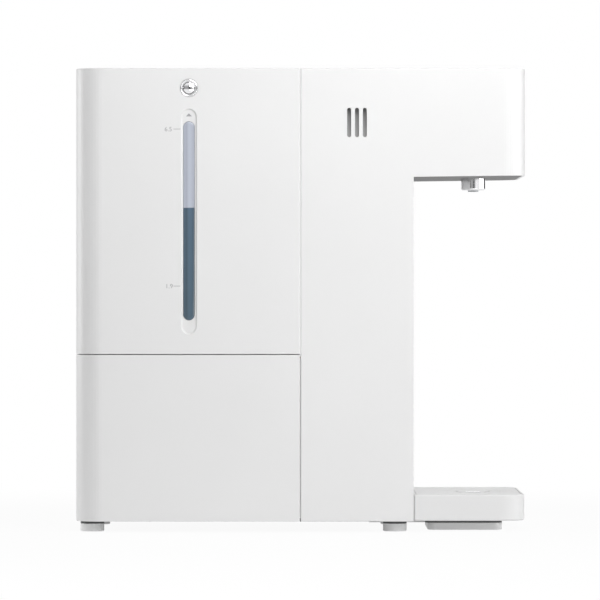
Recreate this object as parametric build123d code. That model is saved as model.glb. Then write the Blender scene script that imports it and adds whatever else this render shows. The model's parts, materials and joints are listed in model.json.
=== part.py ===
from build123d import *
import math
import os

# Hot and cold water dispenser for a table top, in millimetres.
# The origin is the middle of the ground under it, +Z is up and the tap side faces -Y.

# whole machine
body_width = 190.0
body_height = 420.0
foot_height = 9.4
rear_depth = 203.4
column_depth = 102.5
head_depth = 101.5
lower_box_height = 150.9
head_height = 98.5
head_rise = 1.3
case_wall = 2.5
case_gap = 0.3
side_seam = 0.6
tank_seam = 1.1
rear_corner_radius = 24.0
head_corner_radius = 20.0
seam_corner_radius = 1.0
top_edge_radius = 1.2
cut_over = 2.0
shaft_fit = 0.08
slide_fit = 0.3
small_chamfer = 1.0

# feet and base plate
foot_radius = 10.75
foot_side_inset = 22.0
foot_rear_inset = 14.8
foot_front_inset = 16.7
foot_chamfer = 1.0
foot_socket_radius = 4.0
foot_socket_depth = 4.0
base_thickness = 3.0
intake_slot_count = 9
intake_slot_width = 3.0
intake_slot_length = 60.0
intake_slot_pitch = 8.0

# screws that hold the mouldings to the base plate
screw_radius = 1.5
screw_head_radius = 3.0
screw_head_height = 1.6
screw_head_sink = 2.0
screw_length = 15.0
screw_slot_width = 0.8
screw_slot_depth = 0.7
boss_radius = 4.5
boss_height = 18.0
boss_side_inset = 6.5
box_boss_insets = (14.0, 60.0)
column_boss_insets = (20.0, 16.0)

# support under the drip tray
support_side_inset = 39.0
support_front_inset = 19.9
support_rear_inset = 13.9
support_lift = 0.3
support_wall = 2.4
support_corner_radius = 8.0
support_rib_count = 3
support_rib_width = 2.0
tongue_side_inset = 8.0
tongue_thickness = 2.5
tongue_reach = 40.0

# lower box, its deck and the docking socket
deck_thickness = 3.0
ledge_width = 4.0
ledge_thickness = 2.0
louvre_height = 3.0
louvre_pitch = 6.5
dock_inset = 59.4
dock_pad_radius = 26.0
dock_pad_height = 0.5
cup_radius = 13.2
cup_wall = 3.8
cup_floor = 3.0
cup_flange_radius = 24.0
cup_flange_thickness = 2.0
cup_clearance = 4.4
port_radius = 4.6
port_bore = 3.0
port_length = 11.0
dock_pin_radius = 2.2
dock_seal_height = 3.0

# tank shell and clear vessel
tank_wall = 2.6
tank_pad_radius = 8.0
tank_pad_inset = 22.0
tank_pad_gap = 0.1
tank_lower_edge_radius = 1.8
vessel_gap = 3.0
vessel_wall = 2.0
vessel_rim_drop = 28.0
vessel_mouth_inset = 17.0
vessel_mouth_rear_inset = 30.0
vessel_mouth_radius = 10.0

# level window
window_width = 14.5
window_rise = 17.3
window_drop = 36.7
window_depth = 1.6
window_slope = 40.0
lens_width = 10.9
lens_rise = 12.6
lens_drop = 11.3
lens_proud = 0.4
lens_edge_radius = 1.0
lens_gap = 0.1
window_pad_thickness = 2.0
window_pad_margin = 5.0

# carrying handle of the tank and its pivots
pivot_drop = 18.2
pivot_offset = -1.3
pivot_radius = 3.0
cap_radius = 6.06
cap_recess_radius = 8.4
cap_recess_depth = 1.4
cap_rim_height = 0.5
pivot_pad_radius = 10.0
pivot_pad_thickness = 1.4
handle_side_gap = 0.5
handle_thickness = 5.0
handle_height = 10.0
handle_rear_gap = 1.1
handle_bar_width = 15.0
handle_inner_radius = 8.0
handle_tilt = 7.6
handle_eye_radius = 6.0
handle_edge_radius = 1.5

# lid of the tank and the shoulders beside it
lid_sink = 0.4
lid_thickness = 2.8
lid_gap = 0.5
lid_handle_gap = 1.0
shoulder_gap = 2.5
lid_bar_gap = 3.0
lid_skirt_wall = 2.0
lid_skirt_inset = 4.0
lid_seal_height = 2.2
lid_seal_width = 4.0
lid_seal_gap = 0.3
lid_corner_radius = 11.0
finger_notch_radius = 15.0
finger_notch_depth = 7.0

# outlet valve under the tank
outlet_radius = 11.0
outlet_bore = 8.5
outlet_drop = 15.0
outlet_seat_thickness = 2.0
outlet_seat_bore = 4.8
outlet_flange_radius = 16.0
outlet_flange_thickness = 2.0
outlet_gap = 0.2
poppet_radius = 7.4
poppet_thickness = 3.0
poppet_lift = 2.5
poppet_pin_gap = 0.3
poppet_stem_radius = 2.0
bridge_thickness = 2.0
bridge_width = 5.0
valve_spring_wire = 0.5
valve_spring_radius = 4.6
valve_spring_turns = 4

# float that reports an empty tank
float_inset = 21.0
float_radius = 9.0
float_height = 14.0
float_travel = 12.0
float_bore_gap = 0.4
float_post_radius = 2.5
float_post_head_radius = 4.4
float_post_head_height = 2.0
reed_width = 10.0
reed_height = 22.0
reed_thickness = 5.0

# vents on the side of the column
vent_count = 3
vent_width = 3.6
vent_pitch = 7.1
vent_drop = 36.1
vent_length = 26.5
vent_middle_inset = 51.1
baffle_thickness = 2.0
baffle_margin = 6.0
baffle_depth = 9.0

# head: covers, control panel and buttons
cover_thickness = 2.6
cover_sink = 0.3
panel_wall = 2.5
fascia_side_inset = 33.0
fascia_top_inset = 14.0
fascia_bottom_inset = 14.0
fascia_radius = 10.0
fascia_flange = 3.5
fascia_flange_thickness = 2.0
display_width = 52.0
display_height = 20.0
display_margin = 6.0
display_radius = 3.0
display_depth = 1.8
display_ledge = 2.0
button_count = 3
button_radius = 8.0
button_pitch_share = 0.242
button_margin = 7.0
button_gap = 0.3
button_sink = 0.2
button_flange = 1.4
button_flange_thickness = 1.5
button_flange_gap = 0.2
button_travel = 0.8
button_stem_radius = 2.5
button_edge_radius = 0.8
button_switch_gap = 0.2
board_thickness = 1.6
board_side_inset = 6.0
board_edge_inset = 4.0
board_back = 9.0
board_post_radius = 3.0
board_post_inset = 5.0
switch_height = 3.0
switch_width = 6.0

# nozzle
nozzle_inset = 44.5
sleeve_radius = 11.25
sleeve_drop = 10.5
sleeve_wall = 1.4
sleeve_edge_radius = 1.8
sleeve_flange = 3.0
sleeve_flange_thickness = 1.8
sleeve_seat_gap = 0.3
nozzle_radius = 4.85
nozzle_bore = 3.3
nozzle_drop = 1.1
nozzle_gap = 0.1
manifold_radius = 17.0
manifold_height = 16.0
manifold_port_offset = 10.0
manifold_port_length = 12.0

# drip tray and its cover
tray_inset = 0.6
tray_gap = 0.3
tray_rise = 0.7
tray_height = 23.8
tray_wall = 2.4
tray_front_radius = 21.0
tray_rear_radius = 2.0
tray_lower_radius = 1.5
tray_ledge_width = 3.0
tray_ledge_thickness = 2.0
tray_ledge_gap = 0.2
tray_cover_sink = 0.4
tray_cover_thickness = 2.4
tray_cover_gap = 0.5
tray_cover_boss = 2.6
dish_radius = 33.0
dish_depth = 2.4
dish_margin = 3.0
drain_count = 10
drain_slot_length = 14.0
drain_slot_width = 2.6
drain_circle_radius = 20.0
drain_button_radius = 9.0
drain_button_height = 1.4
hook_width = 14.0
hook_reach = 7.0
hook_thickness = 3.0
hook_offset = 50.0
hook_rise = 5.0
hook_gap = 0.4

# power inlet
inlet_side_inset = 41.0
inlet_rise = 22.0
inlet_width = 27.0
inlet_height = 20.0
inlet_depth = 21.0
inlet_flange = 2.5
inlet_flange_thickness = 2.0
inlet_wall = 1.5
inlet_cavity_depth = 18.0
inlet_gap = 0.1
inlet_corner_radius = 3.0
inlet_pin_width = 4.0
inlet_pin_thickness = 2.0
inlet_pin_length = 12.0
inlet_pin_pitch = 7.0
inlet_pin_drop = 2.0

# hoses and their stubs
hose_radius = 4.0
hose_bore = 2.6
hose_bend = 12.0
stub_radius = 5.0
stub_bore = 2.5
hose_hole_gap = 1.5

# cold tank, insulation and cooling unit
cold_side_room = 36.5
cold_top_room = 48.9
cold_wall = 1.0
cold_radius = 10.0
foam_wall = 11.0
foam_floor = 14.0
foam_radius = 6.0
foam_inset = 17.4
cold_port_inset = 10.4
cold_out_offset = -10.0
cold_in_inset = 12.0
cold_stub_length = 19.0
cooler_size = 40.0
cooler_thickness = 4.0
sink_width = 100.0
sink_height = 80.0
sink_depth = 53.0
sink_base = 6.0
sink_fin_count = 17
sink_fin_thickness = 1.4

# fan
fan_size = 80.0
fan_thickness = 25.0
fan_gap_rear = 9.5
fan_rise = 33.6
fan_corner_radius = 5.0
fan_bore = 37.5
fan_hole_inset = 4.3
fan_hole_radius = 2.2
fan_hub_radius = 16.0
fan_hub_wall = 1.6
fan_blade_radius = 36.4
fan_blade_count = 7
fan_blade_chord = 21.0
fan_blade_thickness = 1.5
fan_blade_camber = 2.2
fan_root_angle = 50.0
fan_tip_angle = 32.0
fan_shaft_radius = 2.0
fan_shaft_length = 14.0
fan_end_gap = 0.6
fan_strut_width = 4.0
fan_strut_thickness = 3.0
fan_bearing_radius = 5.0

# pump
pump_side_inset = 18.5
pump_floor_gap = 16.0
pump_motor_radius = 13.5
pump_motor_height = 38.0
pump_radius = 16.0
pump_height = 16.0
pump_wall = 2.2
pump_cavity = 9.0
pump_stub_length = 9.0
impeller_radius = 12.0
impeller_disc = 1.6
impeller_vane_height = 5.0
impeller_vane_count = 6
impeller_vane_width = 1.2
pump_shaft_radius = 2.0
pump_shaft_depth = 20.0
pump_end_gap = 0.5
pump_stand_width = 24.0
pump_stand_thickness = 3.0

# valve block in the column
block_drop = 5.3
block_height = 24.0
block_depth = 27.5
block_end_margin = 13.0
valve_pitch = 28.0
coil_size = 24.0
coil_height = 30.0
coil_cap = 2.0
plunger_radius = 4.0
plunger_travel = 2.0
plunger_depth = 14.0
block_stub_length = 10.0

# instant heater in the column
heater_offset = -45.0
heater_front_room = 13.0
heater_radius = 24.0
heater_rise = 47.6
heater_height = 110.0
heater_cap = 4.0
heater_cap_overhang = 3.0
heater_lug_width = 14.0
heater_lug_thickness = 3.0
heater_stub_length = 8.0
heater_turn_height = 24.0

# hose routes above the works
cold_run_drop = 35.0
cold_riser_inset = 25.0
cold_crossing_rise = 19.0
hot_run_drop = 19.0
probe_radius = 3.0
probe_gap = 0.3
probe_length = 8.0
probe_height_share = 0.55

# power board on the side wall of the lower box
power_board_width = 80.0
power_board_height = 76.0
power_board_inset = 20.0
power_board_rise = 24.0
power_board_standoff = 7.0
power_post_radius = 3.0
power_part_shares = (
    (0.12, 0.10, 0.40, 0.42, 0.90),
    (0.58, 0.12, 0.32, 0.26, 0.70),
    (0.14, 0.62, 0.22, 0.26, 1.00),
    (0.48, 0.56, 0.40, 0.30, 0.55),
)
power_part_height = 20.0

# places worked out from the sizes
half_width = body_width / 2
inner_half = half_width - case_wall
fitted_half = inner_half - case_gap
body_depth = rear_depth + side_seam + column_depth + head_depth
rear_y = body_depth / 2
front_y = -body_depth / 2
box_front_y = rear_y - rear_depth
column_rear_y = box_front_y - side_seam
column_front_y = column_rear_y - column_depth
bottom_z = foot_height
base_top_z = bottom_z + base_thickness
box_top_z = bottom_z + lower_box_height
deck_bottom_z = box_top_z - deck_thickness
tank_bottom_z = box_top_z + tank_seam
tank_floor_z = tank_bottom_z + tank_wall
vessel_floor_z = tank_floor_z + vessel_wall
vessel_rim_z = body_height - vessel_rim_drop
head_bottom_z = body_height - head_height
cover_top_z = body_height - cover_sink
cover_bottom_z = cover_top_z - cover_thickness
bulkhead_front_y = column_rear_y - panel_wall
tank_middle_y = (box_front_y + rear_y) / 2
dock_y = box_front_y + dock_inset
pivot_y = tank_middle_y + pivot_offset
pivot_z = body_height - pivot_drop
nozzle_y = front_y + nozzle_inset
nozzle_bottom_z = head_bottom_z - sleeve_drop
support_width = body_width - 2 * support_side_inset
window_z = (tank_bottom_z + window_rise, body_height - window_drop)
lens_z = (window_z[0] + lens_rise, window_z[1] - lens_drop)
vent_z = (body_height - vent_drop - vent_length, body_height - vent_drop)
fascia_width = body_width - 2 * fascia_side_inset
fascia_height = head_height - fascia_top_inset - fascia_bottom_inset
board_width = fascia_width - 2 * board_side_inset
board_height = fascia_height - 2 * board_edge_inset
tray_bottom_z = bottom_z + tray_rise
tray_top_z = tray_bottom_z + tray_height
inlet_x = half_width - inlet_side_inset
foam_x = inner_half - cold_side_room
cold_width = 2 * (foam_x - foam_wall)
cold_in_x = cold_width / 2 - cold_in_inset
pump_x = inner_half - pump_side_inset
heater_y = column_front_y + panel_wall + heater_front_room + heater_radius + heater_cap_overhang
heater_z = (base_top_z + heater_rise, base_top_z + heater_rise + heater_height)
cold_run_z = body_height - cold_run_drop
hot_run_z = body_height - hot_run_drop


def block(x, y, z):
    size = Box(x[1] - x[0], y[1] - y[0], z[1] - z[0])
    return Pos((x[0] + x[1]) / 2, (y[0] + y[1]) / 2, (z[0] + z[1]) / 2) * size


def rod(x, y, z, radius):
    return Pos(x, y, (z[0] + z[1]) / 2) * Cylinder(radius, z[1] - z[0])


def rod_along_x(x, y, z, radius):
    return Pos((x[0] + x[1]) / 2, y, z) * Rot(0, 90, 0) * Cylinder(radius, x[1] - x[0])


def rod_along_y(x, y, z, radius):
    return Pos(x, (y[0] + y[1]) / 2, z) * Rot(90, 0, 0) * Cylinder(radius, y[1] - y[0])


def slab(plan, z):
    return extrude(Pos(0, 0, z[0]) * plan, z[1] - z[0])


def rounded_plan(half, y, front_radius, rear_radius):
    plan = Pos(0, (y[0] + y[1]) / 2) * Rectangle(2 * half, y[1] - y[0])
    if rear_radius > 0:
        plan = fillet(plan.vertices().group_by(Axis.Y)[-1], rear_radius)
    if front_radius > 0:
        plan = fillet(plan.vertices().group_by(Axis.Y)[0], front_radius)
    return plan


def side_prism(points, x):
    face = make_face(Polyline(*points, close=True))
    return extrude(Pos(x[0], 0, 0) * (Plane.YZ * face), x[1] - x[0])


def upright_slot(y, z, width, x, taper=0):
    outline = Pos(y, (z[0] + z[1]) / 2) * SlotOverall(z[1] - z[0], width, rotation=90)
    return extrude(Pos(x[0], 0, 0) * (Plane.YZ * outline), x[1] - x[0], taper=taper)


def front_plate(x, z, width, height, radius, y):
    outline = Pos(x, z) * RectangleRounded(width, height, radius)
    return extrude(Pos(0, y[1], 0) * (Plane.XZ * outline), y[1] - y[0])


def both_sides(piece):
    return piece + mirror(piece, about=Plane.YZ)


def hose(points, bend):
    path = FilletPolyline(*points, radius=bend)
    start = Plane(origin=path @ 0, z_dir=path % 0)
    return sweep(start * (Circle(hose_radius) - Circle(hose_bore)), path=path)


def foot_places():
    x = half_width - foot_side_inset
    ys = (rear_y - foot_rear_inset, column_front_y + foot_front_inset)
    return [(side * x, y) for side in (-1, 1) for y in ys]


def screw_places():
    x = half_width - boss_side_inset
    box_ys = (box_front_y + box_boss_insets[0], rear_y - box_boss_insets[1])
    column_ys = (column_rear_y - column_boss_insets[0], column_front_y + column_boss_insets[1])
    return [(side * x, y) for side in (-1, 1) for y in box_ys + column_ys]


def base_outline(gap):
    y = (column_front_y + panel_wall + gap, rear_y - case_wall - gap)
    corner = rear_corner_radius - case_wall - gap
    return rounded_plan(inner_half - gap, y, seam_corner_radius, corner)


def make_base_plate():
    plate = slab(base_outline(case_gap), (bottom_z, base_top_z))
    middle = (intake_slot_count - 1) / 2
    fan_y = rear_y - case_wall - fan_gap_rear - fan_thickness - intake_slot_length / 2
    for i in range(intake_slot_count):
        x = (i - middle) * intake_slot_pitch
        slot = Pos(x, fan_y) * SlotOverall(intake_slot_length, intake_slot_width, rotation=90)
        plate -= slab(slot, (bottom_z - cut_over, base_top_z + cut_over))
    for x, y in screw_places():
        plate -= rod(x, y, (bottom_z - cut_over, base_top_z + cut_over), screw_radius)
        plate -= rod(x, y, (bottom_z - cut_over, bottom_z + screw_head_sink), screw_head_radius)
    return plate


def make_feet():
    feet = Part()
    for x, y in foot_places():
        foot = rod(x, y, (0, foot_height), foot_radius)
        foot = chamfer(foot.edges().group_by(Axis.Z)[0], foot_chamfer)
        feet += foot - rod(x, y, (-cut_over, foot_socket_depth), foot_socket_radius)
    return feet


def make_case_screws():
    screws = Part()
    head_z = bottom_z + screw_head_sink
    for x, y in screw_places():
        screw = rod(x, y, (head_z - screw_head_height, head_z), screw_head_radius)
        screw += rod(x, y, (head_z, bottom_z + screw_length), screw_radius)
        half_slot = screw_slot_width / 2
        reach = screw_head_radius + cut_over
        slot_z = (bottom_z, head_z - screw_head_height + screw_slot_depth)
        screw -= block((x - reach, x + reach), (y - half_slot, y + half_slot), slot_z)
        screws += screw
    return screws


def screw_bosses(places):
    bosses = Part()
    for x, y in places:
        boss = rod(x, y, (base_top_z, base_top_z + boss_height), boss_radius)
        bosses += boss - rod(x, y, (base_top_z, bottom_z + screw_length), screw_radius)
    return bosses


def screw_hole(x, y):
    return rod(x, y, (base_top_z, bottom_z + screw_length), screw_radius)


def make_tray_support():
    y = (front_y + support_front_inset, column_front_y - support_rear_inset)
    length = y[1] - y[0]
    top_z = tray_bottom_z - tank_pad_gap
    plan = Pos(0, (y[0] + y[1]) / 2) * RectangleRounded(support_width, length, support_corner_radius)
    inner_size = (support_width - 2 * support_wall, length - 2 * support_wall)
    inner_corner = support_corner_radius - support_wall
    inner = Pos(0, (y[0] + y[1]) / 2) * RectangleRounded(*inner_size, inner_corner)
    support = slab(plan, (support_lift, top_z))
    tongue_y = (y[1] - support_wall, column_front_y + tongue_reach)
    tongue_half = support_width / 2 - tongue_side_inset
    tongue_x = (-tongue_half, tongue_half)
    support += block(tongue_x, tongue_y, (bottom_z - tongue_thickness, bottom_z))
    support -= slab(inner, (support_lift - cut_over, top_z - support_wall))
    pitch = support_width / (support_rib_count + 1)
    for i in range(support_rib_count):
        x = (i + 1) * pitch - support_width / 2
        rib_x = (x - support_rib_width / 2, x + support_rib_width / 2)
        rib_y = (y[0] + support_wall, y[1] - support_wall)
        support += block(rib_x, rib_y, (support_lift, top_z - support_wall))
    return support


def rear_outline(inset):
    y = (box_front_y + inset, rear_y - inset)
    return rounded_plan(half_width - inset, y, seam_corner_radius, rear_corner_radius - inset)


def open_front_plan(inset):
    y = (box_front_y - cut_over, rear_y - inset)
    return rounded_plan(half_width - inset, y, 0, rear_corner_radius - inset)


def fan_middle_z():
    return base_top_z + fan_rise + fan_size / 2


def make_lower_cover():
    cover = slab(rear_outline(0), (bottom_z, box_top_z))
    cover -= slab(open_front_plan(case_wall), (bottom_z - cut_over, box_top_z + cut_over))
    ledge_z = (deck_bottom_z - ledge_thickness, deck_bottom_z)
    ledge = slab(open_front_plan(case_wall), ledge_z)
    ledge -= slab(open_front_plan(case_wall + ledge_width), ledge_z)
    cover += ledge & slab(rear_outline(0), ledge_z)
    places = [place for place in screw_places() if place[1] > box_front_y]
    cover += screw_bosses(places)
    for x, y in places:
        cover -= screw_hole(x, y)
    rows = math.floor(fan_bore / louvre_pitch)
    for i in range(-rows, rows + 1):
        rise = i * louvre_pitch
        length = 2 * math.sqrt(fan_bore**2 - rise**2)
        outline = Pos(0, fan_middle_z() + rise) * SlotOverall(max(length, 2 * louvre_height), louvre_height)
        cover -= extrude(Pos(0, rear_y + cut_over, 0) * (Plane.XZ * outline), case_wall + 2 * cut_over)
    inlet_z = base_top_z + inlet_rise
    inlet_y = (rear_y - case_wall - cut_over, rear_y + cut_over)
    cover -= front_plate(inlet_x, inlet_z, inlet_width, inlet_height, inlet_corner_radius, inlet_y)
    return cover


def make_tank_deck():
    y = (box_front_y, rear_y - case_wall - case_gap)
    plan = rounded_plan(fitted_half, y, 0, rear_corner_radius - case_wall - case_gap)
    deck = slab(plan, (deck_bottom_z, box_top_z))
    deck += rod(0, dock_y, (box_top_z, box_top_z + dock_pad_height), dock_pad_radius)
    return deck - rod(0, dock_y, (deck_bottom_z - cut_over, tank_bottom_z), cup_radius)


def spigot_bottom_z():
    return tank_bottom_z - outlet_drop


def make_dock_socket():
    floor_z = spigot_bottom_z() - cup_clearance
    bottom = floor_z - cup_floor
    socket = rod(0, dock_y, (bottom, deck_bottom_z), cup_radius + cup_wall)
    flange_z = (deck_bottom_z - cup_flange_thickness, deck_bottom_z)
    socket += rod(0, dock_y, flange_z, cup_flange_radius)
    port_z = floor_z + port_bore + poppet_pin_gap
    reach = cup_radius + cup_wall + port_length
    socket += rod_along_x((cup_radius, reach), dock_y, port_z, port_radius)
    socket -= rod(0, dock_y, (floor_z, deck_bottom_z + cut_over), cup_radius)
    socket -= rod_along_x((0, reach + cut_over), dock_y, port_z, port_bore)
    return socket + rod(0, dock_y, (bottom, poppet_bottom_z() - poppet_pin_gap), dock_pin_radius)


def make_dock_seal():
    z = (deck_bottom_z - 2 * dock_seal_height, deck_bottom_z - dock_seal_height)
    return rod(0, dock_y, z, cup_radius) - rod(0, dock_y, z, outlet_radius + slide_fit)


def tank_outer():
    tank = slab(rear_outline(0), (tank_bottom_z, body_height))
    tank = fillet(tank.edges().group_by(Axis.Z)[-1], top_edge_radius)
    lower_front = tank.edges().filter_by(Axis.X).group_by(Axis.Z)[0].group_by(Axis.Y)[0]
    return fillet(lower_front, tank_lower_edge_radius)


def lid_half():
    return handle_outer_x() - handle_thickness - lid_handle_gap


def lid_z():
    top = body_height - lid_sink
    return (top - lid_thickness, top)


def tank_shoulder():
    x = (lid_half() + lid_gap, half_width - tank_wall / 2)
    y = (box_front_y + tank_wall / 2, pivot_y - handle_eye_radius - shoulder_gap)
    return block(x, y, lid_z())


def make_tank_shell():
    shell = tank_outer()
    shell -= slab(rear_outline(tank_wall), (tank_floor_z, body_height + cut_over))
    inner_x = -(half_width - tank_wall)
    pad_half = window_width / 2 + window_pad_margin
    pad_y = (pivot_y - pad_half, pivot_y + pad_half)
    pad_z = (window_z[0] - window_pad_margin, window_z[1] + window_pad_margin)
    shell += block((inner_x, inner_x + window_pad_thickness), pad_y, pad_z)
    recess_x = (-half_width, -half_width + window_depth)
    shell -= upright_slot(pivot_y, window_z, window_width, recess_x, window_slope)
    through_x = (-half_width, inner_x + window_pad_thickness + cut_over)
    opening_z = (lens_z[0] - lens_gap, lens_z[1] + lens_gap)
    shell -= upright_slot(pivot_y, opening_z, lens_width + 2 * lens_gap, through_x)
    outer = half_width - tank_wall
    pads = rod_along_x((outer - pivot_pad_thickness, outer), pivot_y, pivot_z, pivot_pad_radius)
    recess_x = (half_width - cap_recess_depth, half_width + cut_over)
    recess = rod_along_x(recess_x, pivot_y, pivot_z, cap_recess_radius)
    hole_x = (outer - pivot_pad_thickness - cut_over, half_width)
    hole = rod_along_x(hole_x, pivot_y, pivot_z, pivot_radius + shaft_fit)
    shell += both_sides(pads + tank_shoulder())
    shell -= both_sides(recess + hole)
    foot_x = half_width - tank_pad_inset
    for x in (-foot_x, foot_x):
        for y in (box_front_y + tank_pad_inset, rear_y - tank_pad_inset):
            shell += rod(x, y, (box_top_z + tank_pad_gap, tank_bottom_z), tank_pad_radius)
    floor = (tank_bottom_z - cut_over, tank_floor_z + cut_over)
    return shell - rod(0, dock_y, floor, outlet_radius + outlet_gap)


def vessel_plan(inset):
    return rear_outline(tank_wall + vessel_gap + inset)


def mouth_plan(margin):
    half = half_width - vessel_mouth_inset + margin
    y_front = box_front_y + vessel_mouth_inset - margin
    y_rear = rear_y - vessel_mouth_rear_inset + margin
    corner = vessel_mouth_radius + margin
    return rounded_plan(half, (y_front, y_rear), corner, corner)


def float_y():
    return box_front_y + float_inset


def make_tank_vessel():
    vessel = slab(vessel_plan(0), (tank_floor_z, vessel_rim_z))
    vessel -= slab(vessel_plan(vessel_wall), (vessel_floor_z, vessel_rim_z - vessel_wall))
    vessel -= slab(mouth_plan(0), (vessel_floor_z, vessel_rim_z + cut_over))
    floor = (tank_floor_z - cut_over, vessel_floor_z + cut_over)
    vessel -= rod(0, dock_y, floor, outlet_radius + outlet_gap)
    head_z = vessel_floor_z + slide_fit + float_height + float_travel + slide_fit
    vessel += rod(0, float_y(), (vessel_floor_z, head_z + float_post_head_height), float_post_radius)
    return vessel + rod(0, float_y(), (head_z, head_z + float_post_head_height), float_post_head_radius)


def make_level_float():
    z = (vessel_floor_z + slide_fit, vessel_floor_z + slide_fit + float_height)
    ring = rod(0, float_y(), z, float_radius)
    ring = chamfer(ring.edges().group_by(Axis.Z)[-1] + ring.edges().group_by(Axis.Z)[0], small_chamfer)
    return ring - rod(0, float_y(), z, float_post_radius + float_bore_gap)


def make_level_lens():
    x = (-half_width + window_depth - lens_proud, -half_width + tank_wall + window_pad_thickness)
    lens = upright_slot(pivot_y, lens_z, lens_width, x)
    return fillet(lens.edges().group_by(Axis.X)[0], lens_edge_radius)


def make_tank_outlet():
    bottom = spigot_bottom_z()
    outlet = rod(0, dock_y, (bottom, vessel_floor_z + outlet_flange_thickness), outlet_radius)
    flange_z = (vessel_floor_z, vessel_floor_z + outlet_flange_thickness)
    outlet += rod(0, dock_y, flange_z, outlet_flange_radius)
    outlet -= rod(0, dock_y, (bottom + outlet_seat_thickness, flange_z[1] + cut_over), outlet_bore)
    seat_z = (bottom - cut_over, bottom + outlet_seat_thickness + cut_over)
    outlet -= rod(0, dock_y, seat_z, outlet_seat_bore)
    bridge_z = (flange_z[1] - bridge_thickness, flange_z[1])
    reach = outlet_bore + outlet_wall() / 2
    bridge = block((-reach, reach), (dock_y - bridge_width / 2, dock_y + bridge_width / 2), bridge_z)
    bridge += rod(0, dock_y, bridge_z, valve_spring_radius + 2 * valve_spring_wire)
    outlet += bridge
    guide_z = (bridge_z[0] - cut_over, bridge_z[1] + cut_over)
    return outlet - rod(0, dock_y, guide_z, poppet_stem_radius + slide_fit)


def outlet_wall():
    return outlet_radius - outlet_bore


def poppet_bottom_z():
    return spigot_bottom_z() + outlet_seat_thickness + poppet_lift


def make_valve_poppet():
    z = (poppet_bottom_z(), poppet_bottom_z() + poppet_thickness)
    poppet = rod(0, dock_y, z, poppet_radius)
    poppet = chamfer(poppet.edges().group_by(Axis.Z)[0], small_chamfer)
    return poppet + rod(0, dock_y, (z[0], vessel_floor_z + outlet_flange_thickness), poppet_stem_radius)


def make_valve_spring():
    low = poppet_bottom_z() + poppet_thickness + valve_spring_wire + poppet_pin_gap
    top = vessel_floor_z + outlet_flange_thickness - bridge_thickness
    high = top - valve_spring_wire - poppet_pin_gap
    pitch = (high - low) / valve_spring_turns
    path = Pos(0, dock_y, low) * Helix(pitch, high - low, valve_spring_radius)
    start = Plane(origin=path @ 0, z_dir=path % 0)
    return sweep(start * Circle(valve_spring_wire), path=path, is_frenet=True)


def handle_outer_x():
    return half_width - tank_wall - pivot_pad_thickness - handle_side_gap


def make_pivot_caps():
    inner = half_width - tank_wall - pivot_pad_thickness
    face = half_width - cap_recess_depth
    cap = rod_along_x((inner - handle_side_gap - handle_thickness, face), pivot_y, pivot_z, pivot_radius)
    crown_height = cap_recess_depth - cap_rim_height
    ball = (cap_radius**2 + crown_height**2) / (2 * crown_height)
    half_angle = math.asin(cap_radius / ball) / 2
    middle = (ball * math.sin(half_angle), cap_recess_depth - ball + ball * math.cos(half_angle))
    crown = ThreePointArc((cap_radius, cap_rim_height), middle, (0, cap_recess_depth))
    sides = Polyline((0, cap_recess_depth), (0, 0), (cap_radius, 0), (cap_radius, cap_rim_height))
    dome = revolve(Plane.XZ * make_face([crown, *sides.edges()]), Axis.Z)
    return both_sides(cap + Pos(face, pivot_y, pivot_z) * Rot(0, 90, 0) * dome)


def handle_rear_y():
    return rear_y - tank_wall - handle_rear_gap


def make_tank_handle():
    outer_x = handle_outer_x()
    inner_x = outer_x - handle_thickness
    rear = handle_rear_y()
    corner = rear_corner_radius - (half_width - outer_x)
    z = (pivot_z - handle_height / 2, pivot_z + handle_height / 2)
    bail = slab(rounded_plan(outer_x, (pivot_y, rear), 0, corner), z)
    cut = (pivot_y - cut_over, rear - handle_bar_width)
    bail -= slab(rounded_plan(inner_x, cut, 0, handle_inner_radius), (z[0] - cut_over, z[1] + cut_over))
    bar_edges = bail.edges().filter_by(Axis.X).filter_by(lambda edge: edge.center().Y > cut[1] - cut_over)
    bail = fillet(bar_edges, handle_edge_radius)
    bail += both_sides(rod_along_x((inner_x, outer_x), pivot_y, pivot_z, handle_eye_radius))
    reach = outer_x + cut_over
    bail -= rod_along_x((-reach, reach), pivot_y, pivot_z, pivot_radius + shaft_fit)
    pivot = Pos(0, pivot_y, pivot_z)
    return pivot * Rot(handle_tilt, 0, 0) * pivot.inverse() * bail


def make_tank_lid():
    z = lid_z()
    y = (box_front_y + tank_wall + lid_gap, handle_rear_y() - handle_bar_width - lid_bar_gap)
    lid = slab(rounded_plan(lid_half(), y, seam_corner_radius, lid_corner_radius), z)
    notch_y = y[1] - finger_notch_depth + finger_notch_radius
    lid -= rod(0, notch_y, (z[0] - cut_over, z[1] + cut_over), finger_notch_radius)
    skirt_z = (vessel_rim_z + lid_seal_gap + lid_seal_height, z[0] + lid_thickness / 2)
    skirt = slab(mouth_plan(lid_skirt_inset), skirt_z)
    skirt -= slab(mouth_plan(lid_skirt_inset - lid_skirt_wall), skirt_z)
    return lid + skirt


def make_lid_seal():
    z = (vessel_rim_z + lid_seal_gap, vessel_rim_z + lid_seal_gap + lid_seal_height)
    return slab(mouth_plan(lid_skirt_inset), z) - slab(mouth_plan(lid_skirt_inset - lid_seal_width), z)


def head_plan(inset, rear):
    y = (front_y + inset, rear)
    return rounded_plan(half_width - inset, y, head_corner_radius - inset, 0)


def below_head(drop):
    slope = head_rise / head_depth
    front = front_y - cut_over
    front_z = head_bottom_z + slope * (column_front_y - front) + drop
    return [
        (front, bottom_z - cut_over),
        (column_front_y, bottom_z - cut_over),
        (column_front_y, head_bottom_z + drop),
        (front, front_z),
    ]


def vent_ys():
    middle = (vent_count - 1) / 2
    return [column_rear_y - vent_middle_inset + (i - middle) * vent_pitch for i in range(vent_count)]


def fascia_z():
    return head_bottom_z + fascia_bottom_inset + fascia_height / 2


def display_z():
    return fascia_z() + fascia_height / 2 - display_margin - display_height / 2


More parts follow.
